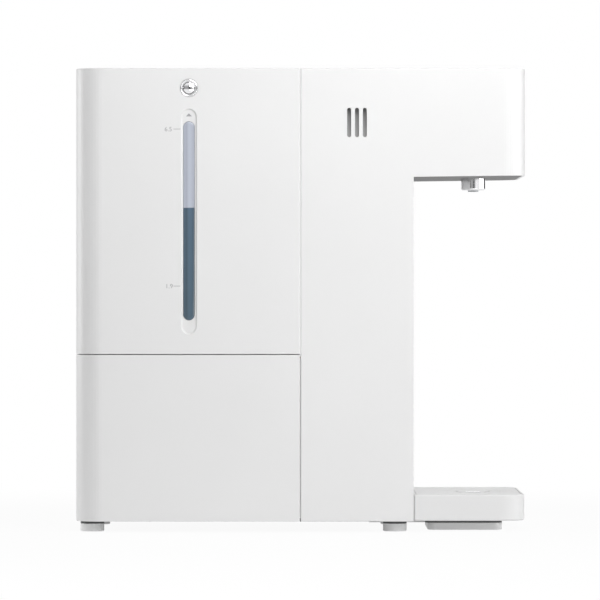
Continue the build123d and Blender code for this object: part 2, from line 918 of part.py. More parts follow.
def make_main_shell():
    shell = slab(head_plan(0, column_rear_y), (bottom_z, body_height))
    rim = shell.edges().group_by(Axis.Z)[-1]
    rim = rim.filter_by(lambda edge: edge.center().Y < column_rear_y - cut_over)
    shell = fillet(rim, top_edge_radius)
    inside_z = (bottom_z - cut_over, body_height + cut_over)
    shell -= slab(head_plan(case_wall, column_rear_y + cut_over), inside_z)
    across = (-half_width - cut_over, half_width + cut_over)
    shell -= side_prism(below_head(0), across)
    for y in vent_ys():
        shell -= upright_slot(y, vent_z, vent_width, across)
    opening_y = (front_y - cut_over, front_y + case_wall + cut_over)
    shell -= front_plate(0, fascia_z(), fascia_width, fascia_height, fascia_radius, opening_y)
    places = [place for place in screw_places() if place[1] < column_rear_y]
    shell += screw_bosses(places)
    for x, y in places:
        shell -= screw_hole(x, y)
    return shell


def make_vent_baffles():
    middle = column_rear_y - vent_middle_inset
    half = (vent_count - 1) / 2 * vent_pitch + vent_width / 2 + baffle_margin
    low = vent_z[0] - baffle_margin
    high = vent_z[1] + baffle_margin
    outline = Polyline(
        (inner_half, low),
        (inner_half, low + baffle_thickness),
        (inner_half - baffle_depth + baffle_thickness, high - baffle_thickness),
        (inner_half, high - baffle_thickness),
        (inner_half, high),
        (inner_half - baffle_depth, high),
        close=True,
    )
    baffle = extrude(Pos(0, middle + half, 0) * (Plane.XZ * make_face(outline)), 2 * half)
    return both_sides(baffle)


def make_column_front():
    z = (bottom_z, head_bottom_z - case_gap)
    panel = block((-fitted_half, fitted_half), (column_front_y, column_front_y + panel_wall), z)
    for side in (-1, 1):
        half = hook_width / 2 + hook_gap
        slot_x = (side * hook_offset - half, side * hook_offset + half)
        slot_z = (hook_bottom_z() - hook_gap, hook_bottom_z() + hook_thickness + hook_gap)
        slot_y = (column_front_y - cut_over, column_front_y + panel_wall + cut_over)
        panel -= block(slot_x, slot_y, slot_z)
    return panel


def make_column_rear():
    z = (base_top_z, cover_bottom_z - case_gap)
    panel = block((-fitted_half, fitted_half), (bulkhead_front_y, column_rear_y), z)
    y = (bulkhead_front_y - cut_over, column_rear_y + cut_over)
    gap = hose_radius + hose_hole_gap
    panel -= rod_along_y(pump_x, y, pump_port_z(), gap)
    panel -= rod_along_y(cold_feed_x(), y, block_middle_z(), stub_radius + hose_hole_gap)
    panel -= rod_along_y(cold_out_offset, y, cold_crossing_z(), gap)
    return panel


def make_top_cover():
    return slab(head_plan(case_wall + case_gap, column_rear_y), (cover_bottom_z, cover_top_z))


def make_head_bottom():
    z = (head_bottom_z - cut_over, head_bottom_z + head_height / 2)
    fitted = slab(head_plan(case_wall + case_gap, column_front_y), z)
    plate = fitted - side_prism(below_head(0), (-half_width, half_width))
    plate &= side_prism(below_head(panel_wall), (-half_width, half_width))
    return plate - rod(0, nozzle_y, z, sleeve_radius + nozzle_gap)


def button_places():
    middle = (button_count - 1) / 2
    z = fascia_z() - fascia_height / 2 + button_margin + button_radius
    pitch = button_pitch_share * fascia_width
    return [((i - middle) * pitch, z) for i in range(button_count)]


def fascia_back_y():
    return front_y + case_wall + fascia_flange_thickness


def board_y():
    return fascia_back_y() + board_back


def make_fascia():
    width = fascia_width - 2 * case_gap
    height = fascia_height - 2 * case_gap
    z = fascia_z()
    fascia = front_plate(0, z, width, height, fascia_radius, (front_y, fascia_back_y()))
    flange_y = (front_y + case_wall, fascia_back_y())
    flange_size = (fascia_width + 2 * fascia_flange, fascia_height + 2 * fascia_flange)
    fascia += front_plate(0, z, *flange_size, fascia_radius + fascia_flange, flange_y)
    pocket_y = (front_y - cut_over, front_y + display_depth)
    fascia -= front_plate(0, display_z(), display_width, display_height, display_radius, pocket_y)
    window = (display_width - 2 * display_ledge, display_height - 2 * display_ledge)
    through_y = (front_y - cut_over, fascia_back_y() + cut_over)
    fascia -= front_plate(0, display_z(), *window, display_radius, through_y)
    for x, button_z in button_places():
        fascia -= rod_along_y(x, through_y, button_z, button_radius + button_gap)
    x = board_width / 2 - board_post_inset
    for side in (-1, 1):
        for rise in (-1, 1):
            post_z = z + rise * (board_height / 2 - board_post_inset)
            fascia += rod_along_y(side * x, (fascia_back_y(), board_y()), post_z, board_post_radius)
    return fascia


def make_display_lens():
    y = (front_y + button_sink, front_y + display_depth)
    size = (display_width - 2 * lens_gap, display_height - 2 * lens_gap)
    return front_plate(0, display_z(), *size, display_radius, y)


def make_control_board():
    z = fascia_z()
    y = (board_y(), board_y() + board_thickness)
    board = front_plate(0, z, board_width, board_height, board_post_radius, y)
    screen = (display_width - 3 * display_ledge, display_height - 3 * display_ledge)
    screen_y = (front_y + display_depth + button_gap, board_y())
    board += front_plate(0, display_z(), *screen, display_radius, screen_y)
    for x, button_z in button_places():
        half = switch_width / 2
        switch_z = (button_z - half, button_z + half)
        board += block((x - half, x + half), (board_y() - switch_height, board_y()), switch_z)
    return board


def make_button(place):
    x, z = place
    face = front_y + button_sink
    flange = fascia_back_y() + button_flange_gap
    button = rod_along_y(x, (face, flange), z, button_radius)
    button = fillet(button.edges().group_by(Axis.Y)[0], button_edge_radius)
    button += rod_along_y(x, (flange, flange + button_flange_thickness), z, button_radius + button_flange)
    stem_end = board_y() - switch_height - button_travel - button_switch_gap
    return button + rod_along_y(x, (flange, stem_end), z, button_stem_radius)


def head_plate_top_z():
    slope = head_rise / head_depth
    return head_bottom_z + slope * (column_front_y - nozzle_y) + panel_wall


def make_nozzle_sleeve():
    flange_z = (manifold_z()[0] - sleeve_flange_thickness, manifold_z()[0])
    sleeve = rod(0, nozzle_y, (nozzle_bottom_z, flange_z[1]), sleeve_radius)
    sleeve = fillet(sleeve.edges().group_by(Axis.Z)[0], sleeve_edge_radius)
    sleeve += rod(0, nozzle_y, flange_z, sleeve_radius + sleeve_flange)
    inside_z = (nozzle_bottom_z + sleeve_wall, flange_z[1] + cut_over)
    sleeve -= rod(0, nozzle_y, inside_z, sleeve_radius - sleeve_wall)
    return sleeve - rod(0, nozzle_y, (nozzle_bottom_z - cut_over, flange_z[1]), nozzle_radius + nozzle_gap)


def manifold_z():
    low = head_plate_top_z() + sleeve_seat_gap + sleeve_flange_thickness
    return (low, low + manifold_height)


def make_nozzle_manifold():
    z = manifold_z()
    manifold = rod(0, nozzle_y, z, manifold_radius)
    manifold += rod(0, nozzle_y, (nozzle_bottom_z - nozzle_drop, z[0]), nozzle_radius)
    middle = (z[0] + z[1]) / 2
    for side in (-1, 1):
        x = side * manifold_port_offset
        manifold += rod(x, nozzle_y, (z[1], z[1] + manifold_port_length), stub_radius)
    for side in (-1, 1):
        x = side * manifold_port_offset
        manifold -= rod(x, nozzle_y, (middle, z[1] + manifold_port_length + cut_over), stub_bore)
    reach = manifold_port_offset
    manifold -= rod_along_x((-reach, reach), nozzle_y, middle, stub_bore)
    return manifold - rod(0, nozzle_y, (nozzle_bottom_z - nozzle_drop - cut_over, middle), nozzle_bore)


def tray_plan(inset):
    y = (front_y + tray_inset + inset, column_front_y - tray_gap - inset)
    rear = max(tray_rear_radius - inset, tray_rear_radius / 2)
    return rounded_plan(half_width - inset, y, tray_front_radius - inset, rear)


def hook_bottom_z():
    return tray_bottom_z + hook_rise


def tray_cover_z():
    top = tray_top_z - tray_cover_sink
    return (top - tray_cover_thickness, top)


def make_drip_tray():
    tray = slab(tray_plan(0), (tray_bottom_z, tray_top_z))
    tray = fillet(tray.edges().group_by(Axis.Z)[0], tray_lower_radius)
    tray -= slab(tray_plan(tray_wall), (tray_bottom_z + tray_wall, tray_top_z + cut_over))
    ledge_top = tray_cover_z()[0] - tray_ledge_gap
    ledge_z = (ledge_top - tray_ledge_thickness, ledge_top)
    tray += slab(tray_plan(tray_wall), ledge_z) - slab(tray_plan(tray_wall + tray_ledge_width), ledge_z)
    for side in (-1, 1):
        hook_x = (side * hook_offset - hook_width / 2, side * hook_offset + hook_width / 2)
        hook_y = (column_front_y - tray_gap - tray_wall, column_front_y - tray_gap + hook_reach)
        tray += block(hook_x, hook_y, (hook_bottom_z(), hook_bottom_z() + hook_thickness))
    return tray


def make_tray_cover():
    z = tray_cover_z()
    cover = slab(tray_plan(tray_wall + tray_cover_gap), z)
    cover += rod(0, nozzle_y, (z[0] - tray_cover_boss, z[0]), dish_radius + dish_margin)
    ball = (dish_radius**2 + dish_depth**2) / (2 * dish_depth)
    cover -= Pos(0, nozzle_y, z[1] - dish_depth + ball) * Sphere(ball)
    floor_z = z[0] - tray_cover_boss
    cover += rod(0, nozzle_y, (floor_z, z[1] - dish_depth + drain_button_height), drain_button_radius)
    through = (floor_z - cut_over, z[1] + cut_over)
    for i in range(drain_count):
        spot = Rot(0, 0, 360 * i / drain_count) * Pos(drain_circle_radius, 0)
        slot = Pos(0, nozzle_y) * spot * SlotOverall(drain_slot_length, drain_slot_width)
        cover -= slab(slot, through)
    return cover


def make_power_inlet():
    z = base_top_z + inlet_rise
    y = (rear_y - inlet_depth, rear_y - cover_sink)
    size = (inlet_width - 2 * inlet_gap, inlet_height - 2 * inlet_gap)
    inlet = front_plate(inlet_x, z, *size, inlet_corner_radius, y)
    flange_y = (rear_y - case_wall - inlet_flange_thickness, rear_y - case_wall)
    flange_size = (inlet_width + 2 * inlet_flange, inlet_height + 2 * inlet_flange)
    inlet += front_plate(inlet_x, z, *flange_size, inlet_corner_radius, flange_y)
    cavity_y = (y[1] - inlet_cavity_depth, y[1] + cut_over)
    cavity_size = (inlet_width - 2 * inlet_wall, inlet_height - 2 * inlet_wall)
    inlet -= front_plate(inlet_x, z, *cavity_size, inlet_corner_radius - inlet_wall / 2, cavity_y)
    for i in (-1, 0, 1):
        x = inlet_x + i * inlet_pin_pitch
        pin_z = z + (inlet_pin_drop if i == 0 else -inlet_pin_drop)
        pin_x = (x - inlet_pin_thickness / 2, x + inlet_pin_thickness / 2)
        pin_y = (cavity_y[0], cavity_y[0] + inlet_pin_length)
        inlet += block(pin_x, pin_y, (pin_z - inlet_pin_width / 2, pin_z + inlet_pin_width / 2))
    return inlet


def cold_y():
    low = box_front_y + foam_inset + foam_wall
    return (low, fan_y()[0] - sink_depth - cooler_thickness - foam_wall)


def foam_y():
    return (cold_y()[0] - foam_wall, cold_y()[1] + foam_wall)


def cold_z():
    low = base_top_z + foam_floor
    return (low, deck_bottom_z - cold_top_room)


def foam_top_z():
    return cold_z()[1] + foam_wall


def cold_port_y():
    return cold_y()[0] + cold_port_inset - stub_radius


def make_cold_tank():
    size = (cold_width, cold_y()[1] - cold_y()[0], cold_z()[1] - cold_z()[0])
    middle_y = (cold_y()[0] + cold_y()[1]) / 2
    middle_z = (cold_z()[0] + cold_z()[1]) / 2
    tank = Box(*size)
    tank = fillet(tank.edges().filter_by(Axis.Z), cold_radius)
    inner = Box(*[length - 2 * cold_wall for length in size])
    inner = fillet(inner.edges().filter_by(Axis.Z), cold_radius - cold_wall)
    tank = Pos(0, middle_y, middle_z) * (tank - inner)
    pad = cooler_size / 2
    pad_y = (cold_y()[1] - cold_wall, foam_y()[1])
    tank += block((-pad, pad), pad_y, (middle_z - pad, middle_z + pad))
    stub_top = cold_z()[1] + cold_stub_length
    for x in (cold_out_offset, cold_in_x):
        tank += rod(x, cold_port_y(), (cold_z()[1] - cold_wall, stub_top), stub_radius)
    for x in (cold_out_offset, cold_in_x):
        tank -= rod(x, cold_port_y(), (cold_z()[1] - 2 * cold_wall, stub_top + cut_over), stub_bore)
    return tank


def make_insulation():
    foam = block((-foam_x, foam_x), foam_y(), (base_top_z, foam_top_z()))
    foam = fillet(foam.edges().filter_by(Axis.Z), foam_radius)
    middle_y = (cold_y()[0] + cold_y()[1]) / 2
    middle_z = (cold_z()[0] + cold_z()[1]) / 2
    cavity = Box(cold_width, cold_y()[1] - cold_y()[0], cold_z()[1] - cold_z()[0])
    cavity = fillet(cavity.edges().filter_by(Axis.Z), cold_radius)
    foam -= Pos(0, middle_y, middle_z) * cavity
    pad = cooler_size / 2
    pad_y = (cold_y()[1] - cold_wall, foam_y()[1] + cut_over)
    foam -= block((-pad, pad), pad_y, (middle_z - pad, middle_z + pad))
    top = (cold_z()[1] - cold_wall, foam_top_z() + cut_over)
    for x in (cold_out_offset, cold_in_x):
        foam -= rod(x, cold_port_y(), top, stub_radius)
    return foam - rod(*cold_probe_place(), top, probe_radius + probe_gap)


def cold_probe_place():
    return (cold_width / 2 - cold_radius - probe_radius, cold_y()[1] - cold_radius - probe_radius)


def make_cooling_module():
    middle_z = (cold_z()[0] + cold_z()[1]) / 2
    half = cooler_size / 2
    y = (foam_y()[1], foam_y()[1] + cooler_thickness)
    return block((-half, half), y, (middle_z - half, middle_z + half))


def fan_y():
    rear = rear_y - case_wall - fan_gap_rear
    return (rear - fan_thickness, rear)


def make_heat_sink():
    base_y = (foam_y()[1] + cooler_thickness, foam_y()[1] + cooler_thickness + sink_base)
    z = (fan_middle_z() - sink_height / 2, fan_middle_z() + sink_height / 2)
    sink = block((-sink_width / 2, sink_width / 2), base_y, z)
    pitch = (sink_width - sink_fin_thickness) / (sink_fin_count - 1)
    for i in range(sink_fin_count):
        x = i * pitch - sink_width / 2
        sink += block((x, x + sink_fin_thickness), (base_y[0], fan_y()[0]), z)
    return sink


def make_fan_frame():
    y = fan_y()
    z = fan_middle_z()
    frame = front_plate(0, z, fan_size, fan_size, fan_corner_radius, y)
    frame -= rod_along_y(0, (y[0] - cut_over, y[1] + cut_over), z, fan_bore)
    corner = fan_size / 2 - fan_hole_inset
    for x in (-corner, corner):
        for rise in (-corner, corner):
            frame -= rod_along_y(x, (y[0] - cut_over, y[1] + cut_over), z + rise, fan_hole_radius)
    strut_y = (y[1] - fan_strut_thickness, y[1])
    strut = block((0, fan_bore + fan_hole_inset / 2), strut_y, (-fan_strut_width / 2, fan_strut_width / 2))
    for i in range(4):
        frame += Pos(0, 0, z) * Rot(0, 45 + 90 * i, 0) * strut
    frame += rod_along_y(0, strut_y, z, fan_hub_radius)
    bearing_y = (strut_y[0] - fan_shaft_length, strut_y[0])
    frame += rod_along_y(0, bearing_y, z, fan_bearing_radius)
    shaft_y = (bearing_y[0] - cut_over, strut_y[0] + fan_strut_thickness / 2)
    return frame - rod_along_y(0, shaft_y, z, fan_shaft_radius + shaft_fit)


def blade_section(radius, angle):
    half = fan_blade_chord / 2
    rise = fan_blade_camber
    thick = fan_blade_thickness
    lower = ThreePointArc((-half, 0), (0, rise), (half, 0))
    upper = ThreePointArc((half, thick), (0, rise + thick), (-half, thick))
    outline = make_face([lower, Line((half, 0), (half, thick)), upper, Line((-half, thick), (-half, 0))])
    place = Plane(origin=(radius, 0, 0), x_dir=(0, 1, 0), z_dir=(1, 0, 0))
    return place * Rot(0, 0, angle) * outline


def make_fan_rotor():
    y = fan_y()
    depth = fan_thickness - fan_strut_thickness - 2 * fan_end_gap
    hub = Cylinder(fan_hub_radius, depth)
    cup = Pos(0, 0, fan_hub_wall) * Cylinder(fan_hub_radius - fan_hub_wall, depth)
    hub -= cup
    root = blade_section(fan_hub_radius - fan_hub_wall / 2, fan_root_angle)
    tip = blade_section(fan_blade_radius, fan_tip_angle)
    blade = loft([root, tip])
    rotor = hub
    for i in range(fan_blade_count):
        rotor += Rot(0, 0, 360 * i / fan_blade_count) * blade
    rotor &= Cylinder(fan_blade_radius, depth)
    shaft_end = fan_shaft_length + fan_end_gap - depth / 2
    shaft_low = fan_hub_wall / 2 - depth / 2
    rotor += Pos(0, 0, (shaft_low + shaft_end) / 2) * Cylinder(fan_shaft_radius, shaft_end - shaft_low)
    middle = y[0] + fan_end_gap + depth / 2
    return Pos(0, middle, fan_middle_z()) * Rot(-90, 0, 0) * rotor


def pump_y():
    return dock_y


def pump_motor_z():
    low = base_top_z + pump_floor_gap
    return (low, low + pump_motor_height)


def pump_housing_z():
    return (pump_motor_z()[1], pump_motor_z()[1] + pump_height)


def pump_port_z():
    return pump_housing_z()[0] + pump_wall + pump_cavity / 2


def pump_port_end_y():
    return pump_y() - pump_radius - pump_stub_length


def make_pump_housing():
    z = pump_housing_z()
    x = pump_x
    housing = rod(x, pump_y(), z, pump_radius)
    housing += rod(x, pump_y(), (z[1], z[1] + pump_stub_length), stub_radius)
    port_y = (pump_port_end_y(), pump_y())
    housing += rod_along_y(x, port_y, pump_port_z(), stub_radius)
    cavity = (z[0] + pump_wall, z[0] + pump_wall + pump_cavity)
    housing -= rod(x, pump_y(), cavity, pump_radius - pump_wall)
    housing -= rod(x, pump_y(), (cavity[0], z[1] + pump_stub_length + cut_over), stub_bore)
    housing -= rod_along_y(x, (port_y[0] - cut_over, pump_y() - impeller_radius), pump_port_z(), stub_bore)
    shaft_z = (z[0] - cut_over, cavity[0] + cut_over)
    return housing - rod(x, pump_y(), shaft_z, pump_shaft_radius + slide_fit)


def make_pump_motor():
    z = pump_motor_z()
    x = pump_x
    motor = rod(x, pump_y(), z, pump_motor_radius)
    motor = chamfer(motor.edges().group_by(Axis.Z)[0], small_chamfer)
    stand_z = (base_top_z, z[0])
    half = pump_stand_width / 2
    stand = block((x - half, x + half), (pump_y() - half, pump_y() + half), stand_z)
    inner = half - pump_stand_thickness
    inner_y = (pump_y() - half - cut_over, pump_y() + half + cut_over)
    stand -= block((x - inner, x + inner), inner_y, (base_top_z - cut_over, z[0] - pump_stand_thickness))
    motor += stand
    shaft_z = (z[1] - pump_shaft_depth, z[1] + cut_over)
    return motor - rod(x, pump_y(), shaft_z, pump_shaft_radius + shaft_fit)


def make_pump_rotor():
    x = pump_x
    low = pump_housing_z()[0] + pump_wall + pump_end_gap
    rotor = rod(x, pump_y(), (low, low + impeller_disc), impeller_radius)
    half = impeller_vane_width / 2
    vane_z = (low, low + impeller_disc + impeller_vane_height)
    vane = block((0, impeller_radius - impeller_vane_width), (-half, half), vane_z)
    for i in range(impeller_vane_count):
        rotor += Pos(x, pump_y()) * Rot(0, 0, 360 * i / impeller_vane_count) * vane
    shaft_z = (pump_motor_z()[1] - pump_shaft_depth + pump_end_gap, vane_z[1])
    return rotor + rod(x, pump_y(), shaft_z, pump_shaft_radius)


def block_middle_z():
    return deck_bottom_z - block_drop


def block_z():
    return (block_middle_z() - block_height / 2, block_middle_z() + block_height / 2)


def valve_y():
    return bulkhead_front_y - block_depth / 2


def valve_xs():
    return (pump_x - valve_pitch, pump_x)


def block_x():
    return (valve_xs()[0] - block_end_margin, valve_xs()[1] + block_end_margin)


def cold_feed_x():
    return valve_xs()[1] - valve_pitch / 2


def make_valve_block():
    body = block(block_x(), (bulkhead_front_y - block_depth, bulkhead_front_y), block_z())
    body = chamfer(body.edges().filter_by(Axis.Z).group_by(Axis.Y)[0], small_chamfer)
    low = block_z()[0]
    for x in valve_xs():
        body += rod(x, valve_y(), (low - block_stub_length, low), stub_radius)
    cold_end_y = bulkhead_front_y + panel_wall + block_stub_length
    body += rod_along_y(cold_feed_x(), (bulkhead_front_y, cold_end_y), block_middle_z(), stub_radius)
    for x in valve_xs():
        body -= rod(x, valve_y(), (low - block_stub_length - cut_over, low + plunger_radius), stub_bore)
    body -= rod_along_y(cold_feed_x(), (valve_y(), cold_end_y + cut_over), block_middle_z(), stub_bore)
    for x in valve_xs():
        depth = (block_z()[1] - plunger_depth - slide_fit, block_z()[1] + cut_over)
        body -= rod(x, valve_y(), depth, plunger_radius + slide_fit)
    return body


def make_valve_coils():
    coils = Part()
    z = (block_z()[1], block_z()[1] + coil_height)
    half = coil_size / 2
    for x in valve_xs():
        coil = block((x - half, x + half), (valve_y() - half, valve_y() + half), z)
        coil = fillet(coil.edges().filter_by(Axis.Z), small_chamfer)
        coils += coil - rod(x, valve_y(), (z[0] - cut_over, z[1] - coil_cap), plunger_radius + slide_fit)
    return coils


def make_plunger(x):
    low = block_z()[1] - plunger_depth
    high = block_z()[1] + coil_height - coil_cap - plunger_travel - slide_fit
    plunger = rod(x, valve_y(), (low, high), plunger_radius)
    return chamfer(plunger.edges().group_by(Axis.Z)[0], small_chamfer)


def make_instant_heater():
    z = heater_z
    x = heater_offset
    heater = rod(x, heater_y, z, heater_radius)
    for low in (z[0], z[1] - heater_cap):
        heater += rod(x, heater_y, (low, low + heater_cap), heater_radius + heater_cap_overhang)
        lug_x = (x - heater_lug_width / 2, x + heater_lug_width / 2)
        lug_y = (heater_y + heater_radius, bulkhead_front_y)
        heater += block(lug_x, lug_y, (low, low + heater_lug_thickness))
    stub_z = (z[0] - heater_stub_length, z[1] + heater_stub_length)
    heater += rod(x, heater_y, stub_z, stub_radius)
    return heater - rod(x, heater_y, (stub_z[0] - cut_over, stub_z[1] + cut_over), stub_bore)


def make_temperature_probes():
    x, y = cold_probe_place()
    probes = rod(x, y, (cold_z()[1], foam_top_z() + probe_length), probe_radius)
    side = heater_offset + heater_radius
    z = heater_z[0] + probe_height_share * heater_height
    return probes + rod_along_x((side, side + probe_length), heater_y, z, probe_radius)


def make_reed_switch():
    z = (vessel_floor_z + float_height, vessel_floor_z + float_height + reed_height)
    half = reed_width / 2
    return block((-half, half), (bulkhead_front_y - reed_thickness, bulkhead_front_y), z)


def make_power_board():
    y = (box_front_y + power_board_inset, box_front_y + power_board_inset + power_board_width)
    z = (base_top_z + power_board_rise, base_top_z + power_board_rise + power_board_height)
    back = -inner_half + power_board_standoff
    board = block((back, back + board_thickness), y, z)
    for post_y in (y[0] + board_post_inset, y[1] - board_post_inset):
        for post_z in (z[0] + board_post_inset, z[1] - board_post_inset):
            board += rod_along_x((-inner_half, back), post_y, post_z, power_post_radius)
    for across, up, width, height, depth in power_part_shares:
        part_y = (y[0] + across * power_board_width, y[0] + (across + width) * power_board_width)
        part_z = (z[0] + up * power_board_height, z[0] + (up + height) * power_board_height)
        board += block((back, back + board_thickness + depth * power_part_height), part_y, part_z)
    return board


def cold_crossing_z():
    return cold_z()[1] + cold_stub_length + cold_crossing_rise


def dock_port_z():
    return spigot_bottom_z() - cup_clearance + port_bore + poppet_pin_gap


def make_suction_hose():
    start = cup_radius + cup_wall + port_length
    return hose([
        (start, dock_y, dock_port_z()),
        (pump_x, dock_y, dock_port_z()),
        (pump_x, dock_y, pump_housing_z()[1] + pump_stub_length),
    ], hose_bend)


def make_delivery_hose():
    return hose([
        (pump_x, pump_port_end_y(), pump_port_z()),
        (pump_x, valve_y(), pump_port_z()),
        (pump_x, valve_y(), block_z()[0] - block_stub_length),
    ], hose_bend)


def make_hot_feed_hose():
    x = valve_xs()[0]
    turn_z = heater_z[0] - heater_stub_length - heater_turn_height
    return hose([
        (x, valve_y(), block_z()[0] - block_stub_length),
        (x, valve_y(), turn_z),
        (x, heater_y, turn_z),
        (heater_offset, heater_y, turn_z),
        (heater_offset, heater_y, heater_z[0] - heater_stub_length),
    ], hose_bend)


def make_cold_feed_hose():
    start_y = column_rear_y + block_stub_length
    return hose([
        (cold_feed_x(), start_y, block_middle_z()),
        (cold_feed_x(), cold_port_y(), block_middle_z()),
        (cold_in_x, cold_port_y(), block_middle_z()),
        (cold_in_x, cold_port_y(), cold_z()[1] + cold_stub_length),
    ], hose_bend)


def make_cold_hose():
    x = cold_out_offset
    riser_y = column_rear_y - cold_riser_inset
    return hose([
        (x, cold_port_y(), cold_z()[1] + cold_stub_length),
        (x, cold_port_y(), cold_crossing_z()),
        (x, riser_y, cold_crossing_z()),
        (x, riser_y, cold_run_z),
        (x, nozzle_y, cold_run_z),
        (x, nozzle_y, manifold_z()[1] + manifold_port_length),
    ], hose_bend)


def make_hot_hose():
    x = manifold_port_offset
    return hose([
        (heater_offset, heater_y, heater_z[1] + heater_stub_length),
        (heater_offset, heater_y, hot_run_z),
        (x, heater_y, hot_run_z),
        (x, nozzle_y, hot_run_z),
        (x, nozzle_y, manifold_z()[1] + manifold_port_length),
    ], hose_bend)


nodes = {
    "base_plate": make_base_plate(),
    "feet": make_feet(),
    "case_screws": make_case_screws(),
    "tray_support": make_tray_support(),
    "lower_cover": make_lower_cover(),
    "tank_deck": make_tank_deck(),
    "dock_socket": make_dock_socket(),
    "dock_seal": make_dock_seal(),
    "main_shell": make_main_shell(),
    "vent_baffles": make_vent_baffles(),
    "column_front": make_column_front(),
    "column_rear": make_column_rear(),
    "top_cover": make_top_cover(),
    "head_bottom": make_head_bottom(),
    "fascia": make_fascia(),
    "display_lens": make_display_lens(),
    "control_board": make_control_board(),
    "nozzle_sleeve": make_nozzle_sleeve(),
    "nozzle_manifold": make_nozzle_manifold(),
    "power_inlet": make_power_inlet(),
    "power_board": make_power_board(),
    "cold_tank": make_cold_tank(),
    "insulation": make_insulation(),
    "cooling_module": make_cooling_module(),
    "heat_sink": make_heat_sink(),
    "fan_frame": make_fan_frame(),
    "fan_rotor": make_fan_rotor(),
    "pump_housing": make_pump_housing(),
    "pump_motor": make_pump_motor(),
    "pump_rotor": make_pump_rotor(),
    "valve_block": make_valve_block(),
    "valve_coils": make_valve_coils(),
    "hot_plunger": make_plunger(valve_xs()[0]),
    "cold_plunger": make_plunger(valve_xs()[1]),
    "instant_heater": make_instant_heater(),
    "temperature_probes": make_temperature_probes(),
    "reed_switch": make_reed_switch(),
    "suction_hose": make_suction_hose(),
    "delivery_hose": make_delivery_hose(),
    "hot_feed_hose": make_hot_feed_hose(),
    "cold_feed_hose": make_cold_feed_hose(),
    "cold_hose": make_cold_hose(),
    "hot_hose": make_hot_hose(),
    "tank_shell": make_tank_shell(),
    "tank_vessel": make_tank_vessel(),
    "level_lens": make_level_lens(),
    "tank_outlet": make_tank_outlet(),
    "valve_poppet": make_valve_poppet(),
    "valve_spring": make_valve_spring(),
    "level_float": make_level_float(),
    "pivot_caps": make_pivot_caps(),
    "tank_handle": make_tank_handle(),
    "tank_lid": make_tank_lid(),
    "lid_seal": make_lid_seal(),
    "drip_tray": make_drip_tray(),
    "tray_cover": make_tray_cover(),
}
for name, place in zip(("cold_button", "lock_button", "hot_button"), button_places()):
    nodes[name] = make_button(place)

os.makedirs("parts", exist_ok=True)
for name, shape in nodes.items():
    export_step(shape, "parts/" + name + ".step")
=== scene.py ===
import bpy
import bmesh
import json
import math
from mathutils import Matrix, Vector


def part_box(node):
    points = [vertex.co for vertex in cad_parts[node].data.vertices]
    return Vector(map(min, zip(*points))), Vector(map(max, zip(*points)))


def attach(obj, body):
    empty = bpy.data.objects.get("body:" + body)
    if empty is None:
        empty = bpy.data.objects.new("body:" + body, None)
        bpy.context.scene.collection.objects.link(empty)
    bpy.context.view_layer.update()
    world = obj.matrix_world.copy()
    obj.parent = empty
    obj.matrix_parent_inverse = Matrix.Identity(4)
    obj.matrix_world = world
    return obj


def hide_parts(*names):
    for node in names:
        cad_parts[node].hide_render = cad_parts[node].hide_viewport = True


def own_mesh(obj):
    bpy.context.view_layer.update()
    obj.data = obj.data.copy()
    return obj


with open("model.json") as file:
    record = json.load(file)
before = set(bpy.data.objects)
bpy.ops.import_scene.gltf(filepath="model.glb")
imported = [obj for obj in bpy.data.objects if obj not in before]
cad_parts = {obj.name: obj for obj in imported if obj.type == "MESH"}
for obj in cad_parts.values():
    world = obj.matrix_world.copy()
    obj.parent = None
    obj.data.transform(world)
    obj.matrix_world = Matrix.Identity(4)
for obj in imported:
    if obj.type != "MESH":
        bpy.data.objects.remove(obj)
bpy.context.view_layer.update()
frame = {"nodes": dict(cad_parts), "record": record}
nodes = frame["nodes"]
print("frame loaded:", len(nodes), "nodes")


def middleOf(node):
    return [(a + b) / 2 for a, b in zip(*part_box(node))]


# shader expressions

class Signal:
    # one output socket, with arithmetic that adds Math nodes
    def __init__(self, finish, socket):
        self.finish = finish
        self.socket = socket

    def maths(self, operation, other=0.0):
        return self.finish.add("ShaderNodeMath", {"operation": operation}, {0: self, 1: other})

    def __add__(self, other):
        return self.maths("ADD", other)

    def __mul__(self, other):
        return self.maths("MULTIPLY", other)

    def __sub__(self, other):
        return self.maths("SUBTRACT", other)

    def __rsub__(self, other):
        return self.finish.add("ShaderNodeMath", {"operation": "SUBTRACT"}, {0: other, 1: self})

    def __truediv__(self, other):
        return self.maths("DIVIDE", other)

    def __pow__(self, other):
        return self.maths("POWER", other)

    __radd__ = __add__
    __rmul__ = __mul__

    def absolute(self):
        return self.maths("ABSOLUTE")

    def above(self, edge, softness):
        # 0 below the edge, 1 above it, with a soft step between
        ends = {0: self, 1: edge - softness / 2, 2: edge + softness / 2}
        return self.finish.add("ShaderNodeMapRange", {"interpolation_type": "SMOOTHSTEP"}, ends)


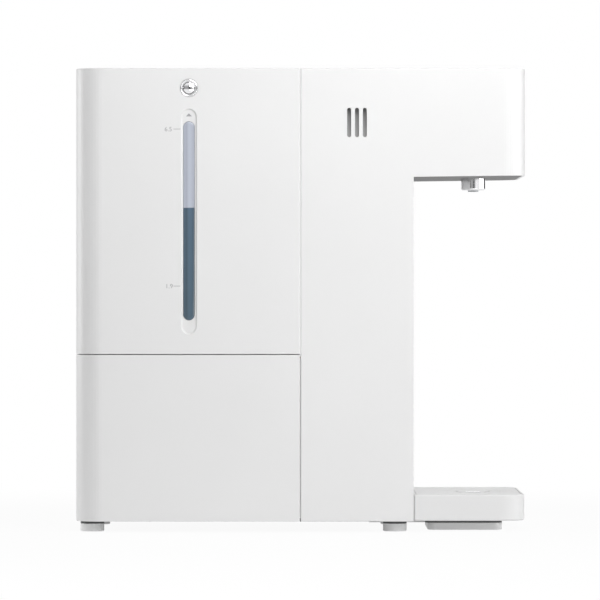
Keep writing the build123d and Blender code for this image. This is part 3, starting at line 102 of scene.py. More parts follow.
class NodeTree:
    # a shader tree and the one way in which nodes are added to it
    def __init__(self, tree):
        self.tree = tree

    def add(self, kind, settings=None, inputs=None, out=0):
        node = self.tree.nodes.new(kind)
        for name, value in (settings or {}).items():
            setattr(node, name, value)
        for key, value in (inputs or {}).items():
            if isinstance(value, Signal):
                self.tree.links.new(value.socket, node.inputs[key])
            else:
                node.inputs[key].default_value = value
        return Signal(self, node.outputs[out])

    def ramp(self, stops, place):
        # a grey tone that runs through the stops
        tone = self.add("ShaderNodeValToRGB", inputs={0: place})
        elements = tone.socket.node.color_ramp.elements
        while len(elements) < len(stops):
            elements.new(1.0)
        for element, (at, grey) in zip(elements, stops):
            element.position = at
            element.color = (grey, grey, grey, 1)
        return tone

    def place(self):
        return self.add("ShaderNodeTexCoord", out="Object")

    def split(self, vector):
        parts = self.add("ShaderNodeSeparateXYZ", inputs={0: vector}).socket.node
        return [Signal(self, parts.outputs[i]) for i in range(3)]

    def axes(self):
        return self.split(self.place())

    def noise(self, scale, detail=3.0, roughness=0.55, stretch=(1, 1, 1)):
        where = self.add("ShaderNodeMapping", inputs={0: self.place(), 3: stretch})
        return self.add("ShaderNodeTexNoise", inputs={0: where, 2: scale, 3: detail, 4: roughness})

    def sum(self, *signals):
        # all the signals together, from 0 to 1
        total = signals[0]
        for signal in signals[1:]:
            total = total + signal
        return self.add("ShaderNodeClamp", inputs={0: total})

    def lightPath(self, *rays):
        # 1 for the kinds of ray that are named
        return self.sum(*(self.add("ShaderNodeLightPath", out="Is " + ray + " Ray") for ray in rays))

    def blend(self, factor, first, second):
        # a colour between two colours
        pair = {0: factor, 6: colour4(first), 7: colour4(second)}
        return self.add("ShaderNodeMix", {"data_type": "RGBA"}, pair, out=2)


class Finish(NodeTree):
    # one material, with fixed values for some sockets of its shader
    def __init__(self, name, **fixed):
        self.material = bpy.data.materials.new(name)
        self.material.use_nodes = True
        super().__init__(self.material.node_tree)
        self.shader = self.tree.nodes["Principled BSDF"]
        self.output = self.tree.nodes["Material Output"]
        for socket, value in fixed.items():
            self.shader.inputs[socket.replace("_", " ")].default_value = value

    def feed(self, **inputs):
        for socket, signal in inputs.items():
            self.tree.links.new(signal.socket, self.shader.inputs[socket.replace("_", " ")])

    def bump(self, height, strength, distance):
        self.feed(Normal=self.add("ShaderNodeBump", inputs={0: strength, 1: distance, 3: height}))

    def toned(self, pattern, low, high, rough, bump=None):
        # colour, roughness and bump that follow one pattern
        self.feed(Base_Color=self.blend(pattern, low, high), Roughness=rough[0] + rough[1] * pattern)
        if bump:
            self.bump(pattern, *bump)
        return self


def colour4(value):
    return value if isinstance(value, Signal) else (*value, 1)


def scaled(colour, share):
    return tuple(min(1.0, share * c) for c in colour)


def finishAs(obj, finish):
    obj.data.materials.clear()
    obj.data.materials.append(finish.material)


# materials

plasticValues = {
    "caseWhite": dict(colour=(0.82, 0.82, 0.82), rough=0.40, coat=0.05, grain=0.10),
    # the trim's own less glossy white, made a little darker than caseWhite as painted shade for the tray
    # under the head
    "shadedTrimWhite": dict(colour=(0.785, 0.785, 0.785), rough=0.46, coat=0.0, grain=0.12),
    "underGrey": dict(colour=(0.235, 0.235, 0.235), rough=0.70, coat=0.0, grain=0.20),
    "baseGrey": dict(colour=(0.80, 0.80, 0.80), rough=0.52, coat=0.0, grain=0.22),
    # near-black for painted shadow: the base plate, the bands at the top of the feet and the lip under the
    # tray
    "paintedShadowGrey": dict(colour=(0.09, 0.09, 0.09), rough=0.60, coat=0.0, grain=0.20),
    "baffleGrey": dict(colour=(0.36, 0.36, 0.36), rough=0.60, coat=0.0, grain=0.20),
    "darkPlastic": dict(colour=(0.028, 0.028, 0.03), rough=0.45, coat=0.0, grain=0.20),
    "valveGrey": dict(colour=(0.42, 0.44, 0.46), rough=0.42, coat=0.0, grain=0.12),
    "coilResin": dict(colour=(0.05, 0.05, 0.065), rough=0.38, coat=0.1, grain=0.15),
    "ceramicWhite": dict(colour=(0.78, 0.77, 0.74), rough=0.55, coat=0.0, grain=0.2),
    "footRubber": dict(colour=(0.92, 0.92, 0.92), rough=0.62, coat=0.0, grain=0.3),
}
mouldValues = dict(
    coatRough=0.12, drift=(9.0, 2.0), pores=(1800.0, 2.0), shade=0.965, driftRough=0.10, poreRough=0.06,
    poreDepth=0.00003,
)


def mouldedPlastic(name, colour, rough, coat, grain):
    # a slow drift of tone, as in any large moulding, and fine pores
    v = mouldValues
    finish = Finish(name, Coat_Weight=coat, Coat_Roughness=v["coatRough"])
    drift = finish.noise(*v["drift"])
    pores = finish.noise(*v["pores"])
    finish.feed(Base_Color=finish.blend(drift, scaled(colour, v["shade"]), colour))
    finish.feed(Roughness=rough + v["driftRough"] * (drift - 0.5) + v["poreRough"] * (pores - 0.5))
    finish.bump(pores, grain, v["poreDepth"])
    return finish


metalValues = {
    "steel": dict(colour=(0.62, 0.62, 0.63), rough=0.26, stretch=(1, 1, 0.05), streak=0.18),
    "aluminium": dict(colour=(0.70, 0.70, 0.71), rough=0.34, stretch=(1, 0.05, 1), streak=0.20),
    "brass": dict(colour=(0.66, 0.48, 0.20), rough=0.30, stretch=(0.05, 1, 1), streak=0.18),
}
streakValues = dict(lines=(220.0, 4.0, 0.6), shade=0.86, bump=(0.15, 0.00002))


def satinMetal(name, colour, rough, stretch, streak):
    v = streakValues
    finish = Finish(name, Metallic=1.0)
    lines = finish.noise(*v["lines"], stretch)
    finish.feed(Base_Color=finish.blend(lines, scaled(colour, v["shade"]), colour))
    finish.feed(Roughness=rough + streak * (lines - 0.5))
    finish.bump(lines, *v["bump"])
    return finish


cloudValues = {
    "polishedChrome": dict(
        noise=(60.0, 3.0), low=(0.80, 0.80, 0.81), high=(0.86, 0.86, 0.87), rough=(0.05, 0.05), Metallic=1.0),
    "glossPanel": dict(
        noise=(40.0, 4.0), low=(0.010, 0.011, 0.012), high=(0.020, 0.021, 0.023), rough=(0.12, 0.08),
        Coat_Weight=0.35, Specular_IOR_Level=0.35, Coat_Roughness=0.03),
    "softSilicone": dict(
        noise=(120.0, 3.0), low=(0.66, 0.66, 0.64), high=(0.76, 0.76, 0.74), rough=(0.42, 0.12),
        bump=(0.12, 0.00005), Subsurface_Weight=0.15, Subsurface_Radius=(0.003, 0.003, 0.003)),
    "clearVessel": dict(
        noise=(30.0,), low=(0.90, 0.94, 0.95), high=(0.96, 0.98, 0.985), rough=(0.04, 0.06),
        IOR=1.46, Transmission_Weight=1.0),
    "waterBody": dict(
        noise=(12.0,), low=(0.72, 0.84, 0.90), high=(0.78, 0.88, 0.93), rough=(0.01, 0.02),
        IOR=1.333, Transmission_Weight=1.0),
    "greyInk": dict(noise=(900.0, 3.0), low=(0.36, 0.36, 0.369), high=(0.40, 0.40, 0.41), rough=(0.5, 0.1)),
}


def clouded(name, noise, low, high, rough, bump=None, **fixed):
    finish = Finish(name, **fixed)
    return finish.toned(finish.noise(*noise), low, high, rough, bump)


glowValues = {
    "displayGlow": dict(colour=(0.70, 0.88, 1.0), strength=1.4),
    "blueMark": dict(colour=(0.10, 0.38, 0.85), strength=0.6),
    "redMark": dict(colour=(0.85, 0.16, 0.10), strength=0.6),
}
pulseValues = dict(noise=500.0, bright=1.1, rough=(0.3, 0.1))


def glowing(name, colour, strength):
    v = pulseValues
    finish = Finish(name, Emission_Strength=strength)
    pulse = finish.noise(v["noise"])
    finish.feed(Emission_Color=finish.blend(pulse, colour, scaled(colour, v["bright"])))
    return finish.toned(pulse, colour, scaled(colour, v["bright"]), v["rough"])


foamValues = dict(
    cells=650.0, low=(0.035, 0.035, 0.037), high=(0.075, 0.075, 0.078), rough=(0.80, 0.15),
    bump=(0.5, 0.0003),
)


def foamBlock():
    v = foamValues
    finish = Finish("foamBlock")
    cells = finish.add("ShaderNodeTexVoronoi", inputs={0: finish.place(), 2: v["cells"]})
    return finish.toned(cells, v["low"], v["high"], v["rough"], v["bump"])


boardValues = dict(
    scale=140.0, gap=0.06, low=(0.015, 0.11, 0.045), high=(0.03, 0.20, 0.09), rough=(0.30, 0.1), haze=200.0,
    bump=(0.2, 0.00005),
)


def circuitBoard():
    v = boardValues
    finish = Finish("circuitBoard")
    tracks = finish.add("ShaderNodeTexBrick", inputs={0: finish.place(), 4: v["scale"], 5: v["gap"]})
    finish.feed(Base_Color=finish.blend(tracks, v["low"], v["high"]))
    finish.feed(Roughness=v["rough"][0] + v["rough"][1] * finish.noise(v["haze"]))
    finish.bump(tracks, *v["bump"])
    return finish


lensValues = dict(
    waterLine=0.2935, halfWidth=0.0051, rounding=0.0014, depth=0.11,
    airMiddle=(0.530, 0.570, 0.655), airSideShade=(0.380, 0.405, 0.485),
    waterMiddle=(0.096, 0.160, 0.232), waterSideShade=(0.050, 0.082, 0.112),
    deepMiddle=(0.074, 0.128, 0.178), deepSideShade=(0.044, 0.072, 0.094),
    # shares of painted shade across the lens, from one side to the other
    sideShadeShares=((0.02, 1.0), (0.22, 0.2), (0.50, 0.0), (0.72, 0.8), (0.86, 0.5), (1.0, 0.0)),
    streaks=(260.0, 2.0, 0.5, (1, 1, 0.12)), ripple=0.0004, lineSoftness=0.0009, rough=(0.16, 0.10),
    coat=0.8, coatRough=0.08,
)


def levelLensGlass(centreY):
    # painted shade darkens the lens along both sides; under the water line it takes the water's colour,
    # darker towards the bottom
    v = lensValues
    finish = Finish("levelLensGlass", Coat_Weight=v["coat"], Coat_Roughness=v["coatRough"])
    x, y, z = finish.axes()
    across = 0.5 + (y - centreY) / (2 * v["halfWidth"])
    # how much painted shade each place across the lens takes
    side = finish.ramp(v["sideShadeShares"], across)
    deep = (v["waterLine"] - z) / v["depth"]
    middle = finish.blend(deep, v["waterMiddle"], v["deepMiddle"])
    edges = finish.blend(deep, v["waterSideShade"], v["deepSideShade"])
    air = finish.blend(side, v["airMiddle"], v["airSideShade"])
    water = finish.blend(side, middle, edges)
    streaks = finish.noise(*v["streaks"])
    ripple = v["ripple"] * (streaks - 0.5)
    filled = 1 - (z + ripple).above(v["waterLine"], v["lineSoftness"])
    finish.feed(Base_Color=finish.blend(filled, air, water))
    finish.feed(Roughness=v["rough"][0] + v["rough"][1] * streaks)
    return finish


finishes = {name: mouldedPlastic(name, **values) for name, values in plasticValues.items()}
finishes.update((name, satinMetal(name, **values)) for name, values in metalValues.items())
finishes.update((name, clouded(name, **values)) for name, values in cloudValues.items())
finishes.update((name, glowing(name, **values)) for name, values in glowValues.items())
for made in (foamBlock(), circuitBoard(), levelLensGlass(middleOf("level_lens")[1])):
    finishes[made.material.name] = made
print("materials made:", len(finishes))

slotFinishes = {
    "white_case": "caseWhite", "white_trim": "shadedTrimWhite", "grey_moulding": "baseGrey",
    "light_grey_rubber": "footRubber", "chrome_trim": "polishedChrome", "clear_plastic": "clearVessel",
    "lens_blue_grey": "levelLensGlass", "panel_black": "glossPanel", "button_white": "shadedTrimWhite",
    "silicone": "softSilicone", "steel": "steel", "aluminium": "aluminium", "brass": "brass",
    "foam": "foamBlock", "ceramic": "ceramicWhite", "black_plastic": "darkPlastic", "board": "circuitBoard",
    "coil_plastic": "coilResin",
}
nodeFinishes = {
    # the base plate is near-black as painted shadow under the machine
    "head_bottom": "underGrey", "vent_baffles": "baffleGrey", "base_plate": "paintedShadowGrey",
    "nozzle_manifold": "valveGrey", "dock_socket": "valveGrey", "tank_outlet": "valveGrey",
    "pump_housing": "valveGrey",
}
slotOf = {part["node"]: part["material_slot"] for part in frame["record"]["subparts"]}
bodyOf = {node: body for body, group in frame["record"]["behaviour"]["bodies"].items() for node in group}
for node, slot in slotOf.items():
    finishAs(nodes[node], finishes[nodeFinishes.get(node, slotFinishes[slot])])


# mesh helpers

over = 0.004  # how far a cutter reaches past what it cuts
flatArea = 0.00003  # faces that lie in one plane and cover more than this shade flat
sameWay = 0.999999  # normals whose dot product is above this point the same way
hair = 0.000002  # points closer than this are one point
tight = 0.001  # the radius of an inner corner that looks sharp
figureShare = 0.70  # a figure's height as a share of its font's size


def meshOf(name, bm):
    mesh = bpy.data.meshes.new(name)
    bmesh.ops.recalc_face_normals(bm, faces=bm.faces[:])
    bm.to_mesh(mesh)
    bm.free()
    obj = bpy.data.objects.new(name, mesh)
    bpy.context.scene.collection.objects.link(obj)
    return obj


def raised(bm, faces, step):
    # faces pushed out by a step, and the points at their new place
    made = bmesh.ops.extrude_face_region(bm, geom=faces)["geom"]
    verts = [part for part in made if isinstance(part, bmesh.types.BMVert)]
    bmesh.ops.translate(bm, verts=verts, vec=step)
    return verts


def roundedFace(points, segments, *rounds):
    # a flat face with round corners: each round is a range of corners and their radius
    bm = bmesh.new()
    corners = [bm.verts.new(point) for point in points]
    bm.faces.new(corners)
    for first, last, radius in rounds:
        if radius > 0:
            bmesh.ops.bevel(bm, geom=corners[first:last], offset=radius, offset_type="OFFSET",
                            segments=segments, profile=0.5, affect="VERTICES", material=-1)
    return bm


def planPrism(name, half, y, z, frontRadius, rearRadius, segments=14):
    # an upright block with its front and rear corners rounded in plan
    places = ((-half, y[0]), (half, y[0]), (half, y[1]), (-half, y[1]))
    bm = roundedFace([(px, py, z[0]) for px, py in places], segments, (0, 2, frontRadius), (2, 4, rearRadius))
    raised(bm, bm.faces[:], (0, 0, z[1] - z[0]))
    return meshOf(name, bm)


def roundedPlate(name, width, height, corner, y, middle, segments=10):
    # a plate in the XZ plane with round corners, from y[0] to y[1]
    w, h = width / 2, height / 2
    places = ((-w, -h), (w, -h), (w, h), (-w, h))
    bm = roundedFace([(middle[0] + px, y[0], middle[1] + pz) for px, pz in places], segments, (0, 4, corner))
    raised(bm, bm.faces[:], (0, y[1] - y[0], 0))
    return meshOf(name, bm)


def boxPrism(name, low, high):
    bm = bmesh.new()
    size = Vector(high) - Vector(low)
    middle = (Vector(high) + Vector(low)) / 2
    bmesh.ops.create_cube(bm, size=1.0, matrix=Matrix.Translation(middle) @ Matrix.Diagonal((*size, 1)))
    return meshOf(name, bm)


def slotPrism(name, length, width, depth, draft=0.0, segments=12):
    # an upright slot shape with round ends, in the YZ plane, with its depth along +X
    bm = bmesh.new()
    bmesh.ops.create_circle(bm, cap_ends=True, segments=4 * segments, radius=width / 2)
    bmesh.ops.rotate(bm, verts=bm.verts[:], matrix=Matrix.Rotation(math.pi / (4 * segments), 3, "Z"))
    for vert in bm.verts:
        vert.co.y += math.copysign((length - width) / 2, vert.co.y)
    bmesh.ops.rotate(bm, verts=bm.verts[:], matrix=Matrix(((0, 0, 1), (1, 0, 0), (0, 1, 0))))
    verts = raised(bm, bm.faces[:], (depth, 0, 0))
    if draft:
        shrink = (1, (width - 2 * draft) / width, (length - 2 * draft) / length)
        bmesh.ops.scale(bm, verts=verts, vec=shrink)
    return meshOf(name, bm)


def lathe(name, profile, axis="Z", segments=64):
    # a turned shape from (radius, height) points, closed on its axis
    bm = bmesh.new()
    verts = [bm.verts.new((r, 0, h)) for r, h in profile]
    edges = [bm.edges.new(pair) for pair in zip(verts, verts[1:])]
    bmesh.ops.spin(bm, geom=verts + edges, cent=(0, 0, 0), axis=(0, 0, 1), angle=2 * math.pi,
                   steps=segments, use_merge=True)
    bmesh.ops.remove_doubles(bm, verts=bm.verts[:], dist=hair / 2)
    turn = {"X": Matrix.Rotation(math.pi / 2, 3, "Y"), "-X": Matrix.Rotation(-math.pi / 2, 3, "Y"),
            "Y": Matrix.Rotation(-math.pi / 2, 3, "X"), "Z": Matrix.Identity(3)}[axis]
    bmesh.ops.transform(bm, matrix=turn.to_4x4(), verts=bm.verts[:])
    return meshOf(name, bm)


def rod(name, radius, z, axis="Z", segments=64):
    # a solid cylinder between two heights on its axis
    return lathe(name, ((0, z[0]), (radius, z[0]), (radius, z[1]), (0, z[1])), axis, segments)


def roundedCorner(radius, low, edge, steps):
    # points down the outside of a turned part and round its lower edge
    angles = evenly(math.pi / 2, steps)
    return [(radius - edge + edge * math.cos(a), low + edge - edge * math.sin(a)) for a in angles]


def textMesh(name, words, height, depth):
    # flat figures in the XY plane, with their given depth to each side
    curve = bpy.data.curves.new(name, "FONT")
    curve.body = words
    curve.size = height / figureShare
    curve.extrude = depth
    curve.resolution_u = 4
    source = bpy.data.objects.new(name + "Source", curve)
    bpy.context.scene.collection.objects.link(source)
    graph = bpy.context.evaluated_depsgraph_get()
    mesh = bpy.data.meshes.new_from_object(source.evaluated_get(graph))
    bpy.data.objects.remove(source)
    obj = bpy.data.objects.new(name, mesh)
    bpy.context.scene.collection.objects.link(obj)
    return obj


def moved(obj, step):
    obj.data.transform(Matrix.Translation(step))
    return obj


def settled(obj):
    # the modifiers' result becomes the mesh
    graph = bpy.context.evaluated_depsgraph_get()
    mesh = bpy.data.meshes.new_from_object(obj.evaluated_get(graph))
    obj.modifiers.clear()
    obj.data = mesh
    return obj


def cleaned(obj):
    # without points that coincide and faces that have no area
    bm = bmesh.new()
    bm.from_mesh(obj.data)
    bmesh.ops.remove_doubles(bm, verts=bm.verts[:], dist=hair)
    bmesh.ops.dissolve_degenerate(bm, dist=hair, edges=bm.edges[:])
    bm.to_mesh(obj.data)
    bm.free()
    return obj


def joined(target, *others, operation="UNION"):
    for other in others:
        step = target.modifiers.new("shape", "BOOLEAN")
        step.operation = operation
        step.solver = "EXACT"
        step.object = other
        settled(target)
        bpy.data.objects.remove(other)
    return target


def merged(objects):
    # several separate shapes as one object, so that one step cuts them all
    bm = bmesh.new()
    for obj in objects:
        bm.from_mesh(obj.data)
        bpy.data.objects.remove(obj)
    return meshOf("merged", bm)


def cutBy(target, *cutters):
    return joined(target, *cutters, operation="DIFFERENCE")


def weighted(obj, angle, above):
    # only the edges above this height are marked to be rounded
    bm = bmesh.new()
    bm.from_mesh(obj.data)
    weight = bm.edges.layers.float.new("bevel_weight_edge")
    for edge in bm.edges:
        if edge.is_manifold and edge.calc_face_angle() > math.radians(angle):
            edge[weight] = float(min(vert.co.z for vert in edge.verts) > above)
    bm.to_mesh(obj.data)
    bm.free()


def softened(obj, width, segments=3, angle=32, above=None):
    cleaned(obj)
    edge = obj.modifiers.new("edges", "BEVEL")
    edge.width = width
    edge.segments = segments
    edge.limit_method = "ANGLE"
    edge.angle_limit = math.radians(angle)
    if above is not None:
        weighted(obj, angle, above)
        edge.limit_method = "WEIGHT"
    return smoothed(cleaned(settled(obj)), angle)


def flatFaces(mesh):
    # the numbers of the faces that make up the large plane parts of a mesh
    bm = bmesh.new()
    bm.from_mesh(mesh)
    flat, seen = set(), set()
    for start in bm.faces:
        if start.index in seen:
            continue
        seen.add(start.index)
        region = [start]
        for face in region:
            for edge in face.edges:
                for other in edge.link_faces:
                    if other.index not in seen and other.normal.dot(start.normal) > sameWay:
                        seen.add(other.index)
                        region.append(other)
        if sum(face.calc_area() for face in region) > flatArea:
            flat.update(face.index for face in region)
    bm.free()
    return flat


def smoothed(obj, angle=32):
    # rounded edges shade smoothly and the large faces beside them stay flat
    obj.data.polygons.foreach_set("use_smooth", [True] * len(obj.data.polygons))
    obj.data.set_sharp_from_angle(angle=math.radians(angle))
    normals = obj.modifiers.new("normals", "WEIGHTED_NORMAL")
    normals.keep_sharp = True
    normals.weight = 100
    settled(obj)
    mesh = obj.data
    corners = [corner.vector.copy() for corner in mesh.corner_normals]
    for number in flatFaces(mesh):
        face = mesh.polygons[number]
        for corner in face.loop_indices:
            corners[corner] = face.normal.copy()
    mesh.normals_split_custom_set(corners)
    return obj


def dressed(obj, finish, node, slotName=None):
    # the piece takes its finish and rides with the body of a CAD node; slotName is not used
    finishAs(obj, finishes[finish])
    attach(obj, bodyOf[node])
    print("made", obj.name)


def standIn(obj, finish, node):
    # the piece takes the CAD node's place
    dressed(obj, finish, node)
    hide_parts(node)


def evenly(end, count):
    # from 0 to the end in equal steps
    return [end * i / count for i in range(count + 1)]


# main shell

shellValues = dict(
    wall=0.0025, corner=0.020, edge=0.0011, rim=0.0003, slopeRise=0.0013, columnFront=-0.1025,
    headBottom=0.3215,
)
ventValues = dict(count=3, width=0.0036, pitch=0.0071, middleY=-0.0511, low=0.3574, high=0.3839)


def makeMainShell():
    v = shellValues
    low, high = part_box("main_shell")
    half, wall = high.x, v["wall"]
    y = (low.y, high.y)
    shell = planPrism("mainShell", half, y, (low.z, high.z), v["corner"], 0)
    inner = planPrism("inner", half - wall, (y[0] + wall, y[1] + over), (low.z - over, high.z + over),
                      v["corner"] - wall, 0)
    shell = softened(shell, v["edge"], 4, 60)
    notch = boxPrism("notch", (-half - over, y[0] - over, low.z - over),
                     (half + over, v["columnFront"], v["headBottom"]))
    # the head's underside slopes up to the front
    for vert in notch.data.vertices:
        if vert.co.z > v["headBottom"] - over and vert.co.y < y[0]:
            vert.co.z += v["slopeRise"] * (v["columnFront"] - vert.co.y) / (v["columnFront"] - y[0])
    w = ventValues
    vents = []
    for i in range(w["count"]):
        vent = slotPrism("vent", w["high"] - w["low"], w["width"], 2 * half + 2 * over)
        ventY = w["middleY"] + (i - (w["count"] - 1) / 2) * w["pitch"]
        vents.append(moved(vent, (-half - over, ventY, (w["low"] + w["high"]) / 2)))
    p = panelValues
    window = roundedPlate("window", p["width"], p["height"], p["corner"], (y[0] - over, y[0] + wall + over),
                          (0, p["middleZ"]))
    cutBy(shell, inner, notch, merged(vents), window)
    softened(shell, v["rim"], 2)
    standIn(shell, "caseWhite", "main_shell")


# lower cover

coverValues = dict(
    wall=0.0025, corner=0.024, front=0.0008, edge=0.0004, grilleRadius=0.0375, louvre=0.003,
    roundShare=2.05, pitch=0.0065, inletHole=(0.027, 0.020, 0.003), tongue=0.0012, tongueGap=0.0001,
    tongueReach=0.004, tongueInset=0.003,
)


def makeLowerCover():
    v = coverValues
    low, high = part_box("lower_cover")
    wall = v["wall"]
    cover = planPrism("lowerCover", high.x, (low.y, high.y), (low.z, high.z), v["front"], v["corner"])
    inner = planPrism("inner", high.x - wall, (low.y - over, high.y - wall), (low.z - over, high.z + over),
                      0, v["corner"] - wall)
    through = (high.y - wall - over, high.y + over)
    fanZ = middleOf("fan_frame")[2]
    rows = math.floor(v["grilleRadius"] / v["pitch"])
    holes = []
    for i in range(-rows, rows + 1):
        rise = i * v["pitch"]
        length = 2 * math.sqrt(v["grilleRadius"] ** 2 - rise ** 2)
        corner = v["louvre"] / v["roundShare"]
        holes.append(roundedPlate("louvre", length, v["louvre"], corner, through, (0, fanZ + rise), 5))
    inletX, inletZ = middleOf("power_inlet")[::2]
    holes.append(roundedPlate("inletHole", *v["inletHole"], through, (inletX, inletZ), 6))
    cutBy(cover, inner, merged(holes))
    softened(cover, v["edge"], 3)
    # a tongue on each side closes the seam with the column from within
    for side in (-1, 1):
        ends = sorted(side * (high.x - wall - v["tongueGap"] - step) for step in (0, v["tongue"]))
        tongue = boxPrism("coverTongue", (ends[0], low.y - v["tongueReach"], low.z + v["tongueInset"]),
                          (ends[1], low.y + v["tongueReach"], high.z - v["tongueInset"]))
        dressed(smoothed(tongue), "caseWhite", "lower_cover")
    standIn(cover, "caseWhite", "lower_cover")


# tank shell with its window

tankValues = dict(
    wall=0.0026, corner=0.024, front=0.0009, edge=0.0008, rim=0.0004, baseGap=0.0008, windowWidth=0.0145,
    windowLow=0.1787, windowHigh=0.3833, windowDepth=0.0017, draft=0.0012, taperStart=0.0004,
    lensGap=0.0001, lensInset=0.0003, padDepth=0.002, padMargin=0.005, padHalf=0.012, ringRadius=0.0084,
    ringDepth=0.0014, footRadius=0.008, footInset=0.022, footEdge=0.0004, outletRadius=0.0112,
    lidSink=0.0004, lidThickness=0.0028, lidGap=0.0005, shoulderGap=0.0085,
)


def pivotPlace():
    return middleOf("pivot_caps")[1:]


def makeTankShell():
    v = tankValues
    low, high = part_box("tank_shell")
    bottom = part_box("lower_cover")[1].z + v["baseGap"]
    half, wall = high.x, v["wall"]
    pivotY, pivotZ = pivotPlace()
    below = bottom - 2 * v["edge"]
    shell = planPrism("tankShell", half, (low.y, high.y), (below, high.z), v["front"], v["corner"])
    softened(shell, v["edge"], 4, 60)
    inner = planPrism("inner", half - wall, (low.y + wall, high.y - wall), (bottom + wall, high.z + over),
                      tight, v["corner"] - wall)
    foot = boxPrism("foot", (-half - over, low.y - over, below - over), (half + over, high.y + over, bottom))
    cutBy(shell, foot, inner)
    pad = boxPrism("pad", (-half + wall / 2, pivotY - v["padHalf"], v["windowLow"] - v["padMargin"]),
                   (-half + wall + v["padDepth"], pivotY + v["padHalf"], v["windowHigh"] + v["padMargin"]))
    joined(shell, pad)
    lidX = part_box("tank_lid")[1].x + v["lidGap"]
    lidTop = high.z - v["lidSink"]
    for side in (-1, 1):
        ends = sorted((side * lidX, side * (half - wall / 2)))
        joined(shell, boxPrism("shoulder", (ends[0], low.y + wall / 2, lidTop - v["lidThickness"]),
                               (ends[1], pivotY - v["shoulderGap"], lidTop)))
    # the window's taper starts a little outside the face, so that no two faces coincide
    wider = v["draft"] * v["taperStart"] / v["windowDepth"]
    taper = slotPrism("taper", v["windowHigh"] - v["windowLow"] + 2 * wider, v["windowWidth"] + 2 * wider,
                      v["windowDepth"] + v["taperStart"], v["draft"] + wider)
    moved(taper, (-half - v["taperStart"], pivotY, (v["windowHigh"] + v["windowLow"]) / 2))
    lensLow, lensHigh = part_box("level_lens")
    room = 2 * (v["lensGap"] - v["lensInset"])
    opening = slotPrism("opening", lensHigh.z - lensLow.z + room, lensHigh.y - lensLow.y + room, 2 * over)
    moved(opening, (-half + v["windowDepth"] / 2, pivotY, (lensLow.z + lensHigh.z) / 2))
    cutters = [taper, opening]
    for side, axis in ((-1, "-X"), (1, "X")):
        ring = rod("ring", v["ringRadius"], (0, v["ringDepth"] + over), axis)
        cutters.append(moved(ring, (side * (half - v["ringDepth"]), pivotY, pivotZ)))
    outletX, outletY = middleOf("tank_outlet")[:2]
    cutters.append(moved(rod("hole", v["outletRadius"], (-over, 2 * over)), (outletX, outletY, bottom)))
    cutBy(shell, *cutters)
    softened(shell, v["rim"], 3, 32, bottom + wall / 2)
    r, edge = v["footRadius"], v["footEdge"]
    profile = ((0, low.z), (r - edge, low.z), (r, low.z + edge), (r, bottom), (0, bottom))
    for x in (half - v["footInset"], v["footInset"] - half):
        for y in (low.y + v["footInset"], high.y - v["footInset"]):
            foot = moved(lathe("tankFoot", profile), (x, y, 0))
            dressed(foot, "footRubber", "tank_shell", "light_grey_rubber")
    standIn(shell, "caseWhite", "tank_shell")


# level lens, ticks and numbers

markValues = dict(
    upperZ=0.3647, lowerZ=0.2226, tickStart=0.1087, tickEnd=0.1150, tickHeight=0.0005, textStart=0.1168,
    textHeight=0.0040, arrowZ=0.3762, arrowWidth=0.0054, arrowHeight=0.0028, proud=0.00004, upperText="6.5",
    lowerText="1.9",
)


def makeLevelLens():
    low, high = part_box("level_lens")
    middle = (low + high) / 2
    inset = 2 * tankValues["lensInset"]
    lens = slotPrism("levelLens", high.z - low.z - inset, high.y - low.y - inset, high.x - low.x)
    moved(lens, (low.x, middle.y, middle.z))
    softened(lens, lensValues["rounding"], 6)
    standIn(lens, "levelLensGlass", "level_lens")


def makeMarks():
    v = markValues
    proud = v["proud"]
    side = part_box("tank_shell")[0].x
    face = side - proud
    for name, z, words in (("upper", v["upperZ"], v["upperText"]), ("lower", v["lowerZ"], v["lowerText"])):
        tick = boxPrism(name + "Tick", (face, v["tickStart"], z - v["tickHeight"] / 2),
                        (face + 2 * proud, v["tickEnd"], z + v["tickHeight"] / 2))
        dressed(tick, "greyInk", "tank_shell")
        number = textMesh(name + "Number", words, v["textHeight"], proud)
        # the text is read from the left side: its right is towards the front
        number.data.transform(Matrix(((0, 0, -1, 0), (-1, 0, 0, 0), (0, 1, 0, 0), (0, 0, 0, 1))))
        width = max(p.co.y for p in number.data.vertices) - min(p.co.y for p in number.data.vertices)
        moved(number, (face + proud, v["textStart"] + width, z - v["textHeight"] / 2))
        dressed(number, "greyInk", "tank_shell")
    x = side + tankValues["windowDepth"] - 2 * proud
    y, z, half = pivotPlace()[0], v["arrowZ"], v["arrowWidth"] / 2
    arrow = roundedFace(((x, y + half, z), (x, y - half, z), (x, y, z + v["arrowHeight"])), 1)
    raised(arrow, arrow.faces[:], (2 * proud, 0, 0))
    dressed(meshOf("arrowMark", arrow), "greyInk", "tank_shell")


# handle, lid, pivot caps and the water inside

handleValues = dict(
    thickness=0.005, height=0.010, bar=0.015, inner=0.008, eye=0.006, tilt=7.6, edge=0.0014, rearGap=0.0011,
)
lidValues = dict(
    corner=0.011, notchRadius=0.015, notchDepth=0.007, edge=0.00035, rim=0.012, groove=0.0006,
    panelCorner=0.010, skirtHalf=0.082, skirtWall=0.002, skirtFront=0.0099, skirtRear=0.0043,
    skirtCorner=0.014, sunk=0.0005,
)
capValues = dict(
    side=((0.0060, 0), (0.0060, 0.0009), (0.0058, 0.0011), (0.0056, 0.0011), (0.0054, 0.0009),
          (0.0054, 0.0001), (0.0049, 0.0001)),
    domeRadius=0.0049, domeEdge=0.0008, crown=0.0014, steps=9, grooveShadow=(0.00495, 0.00535, 0.0003),
    ring=(0.0064, 0.0080, 0.0006, 0.0011), ringSteps=10, pinRadius=0.0028, pinLength=0.0085,
    pinInset=0.0070,
)


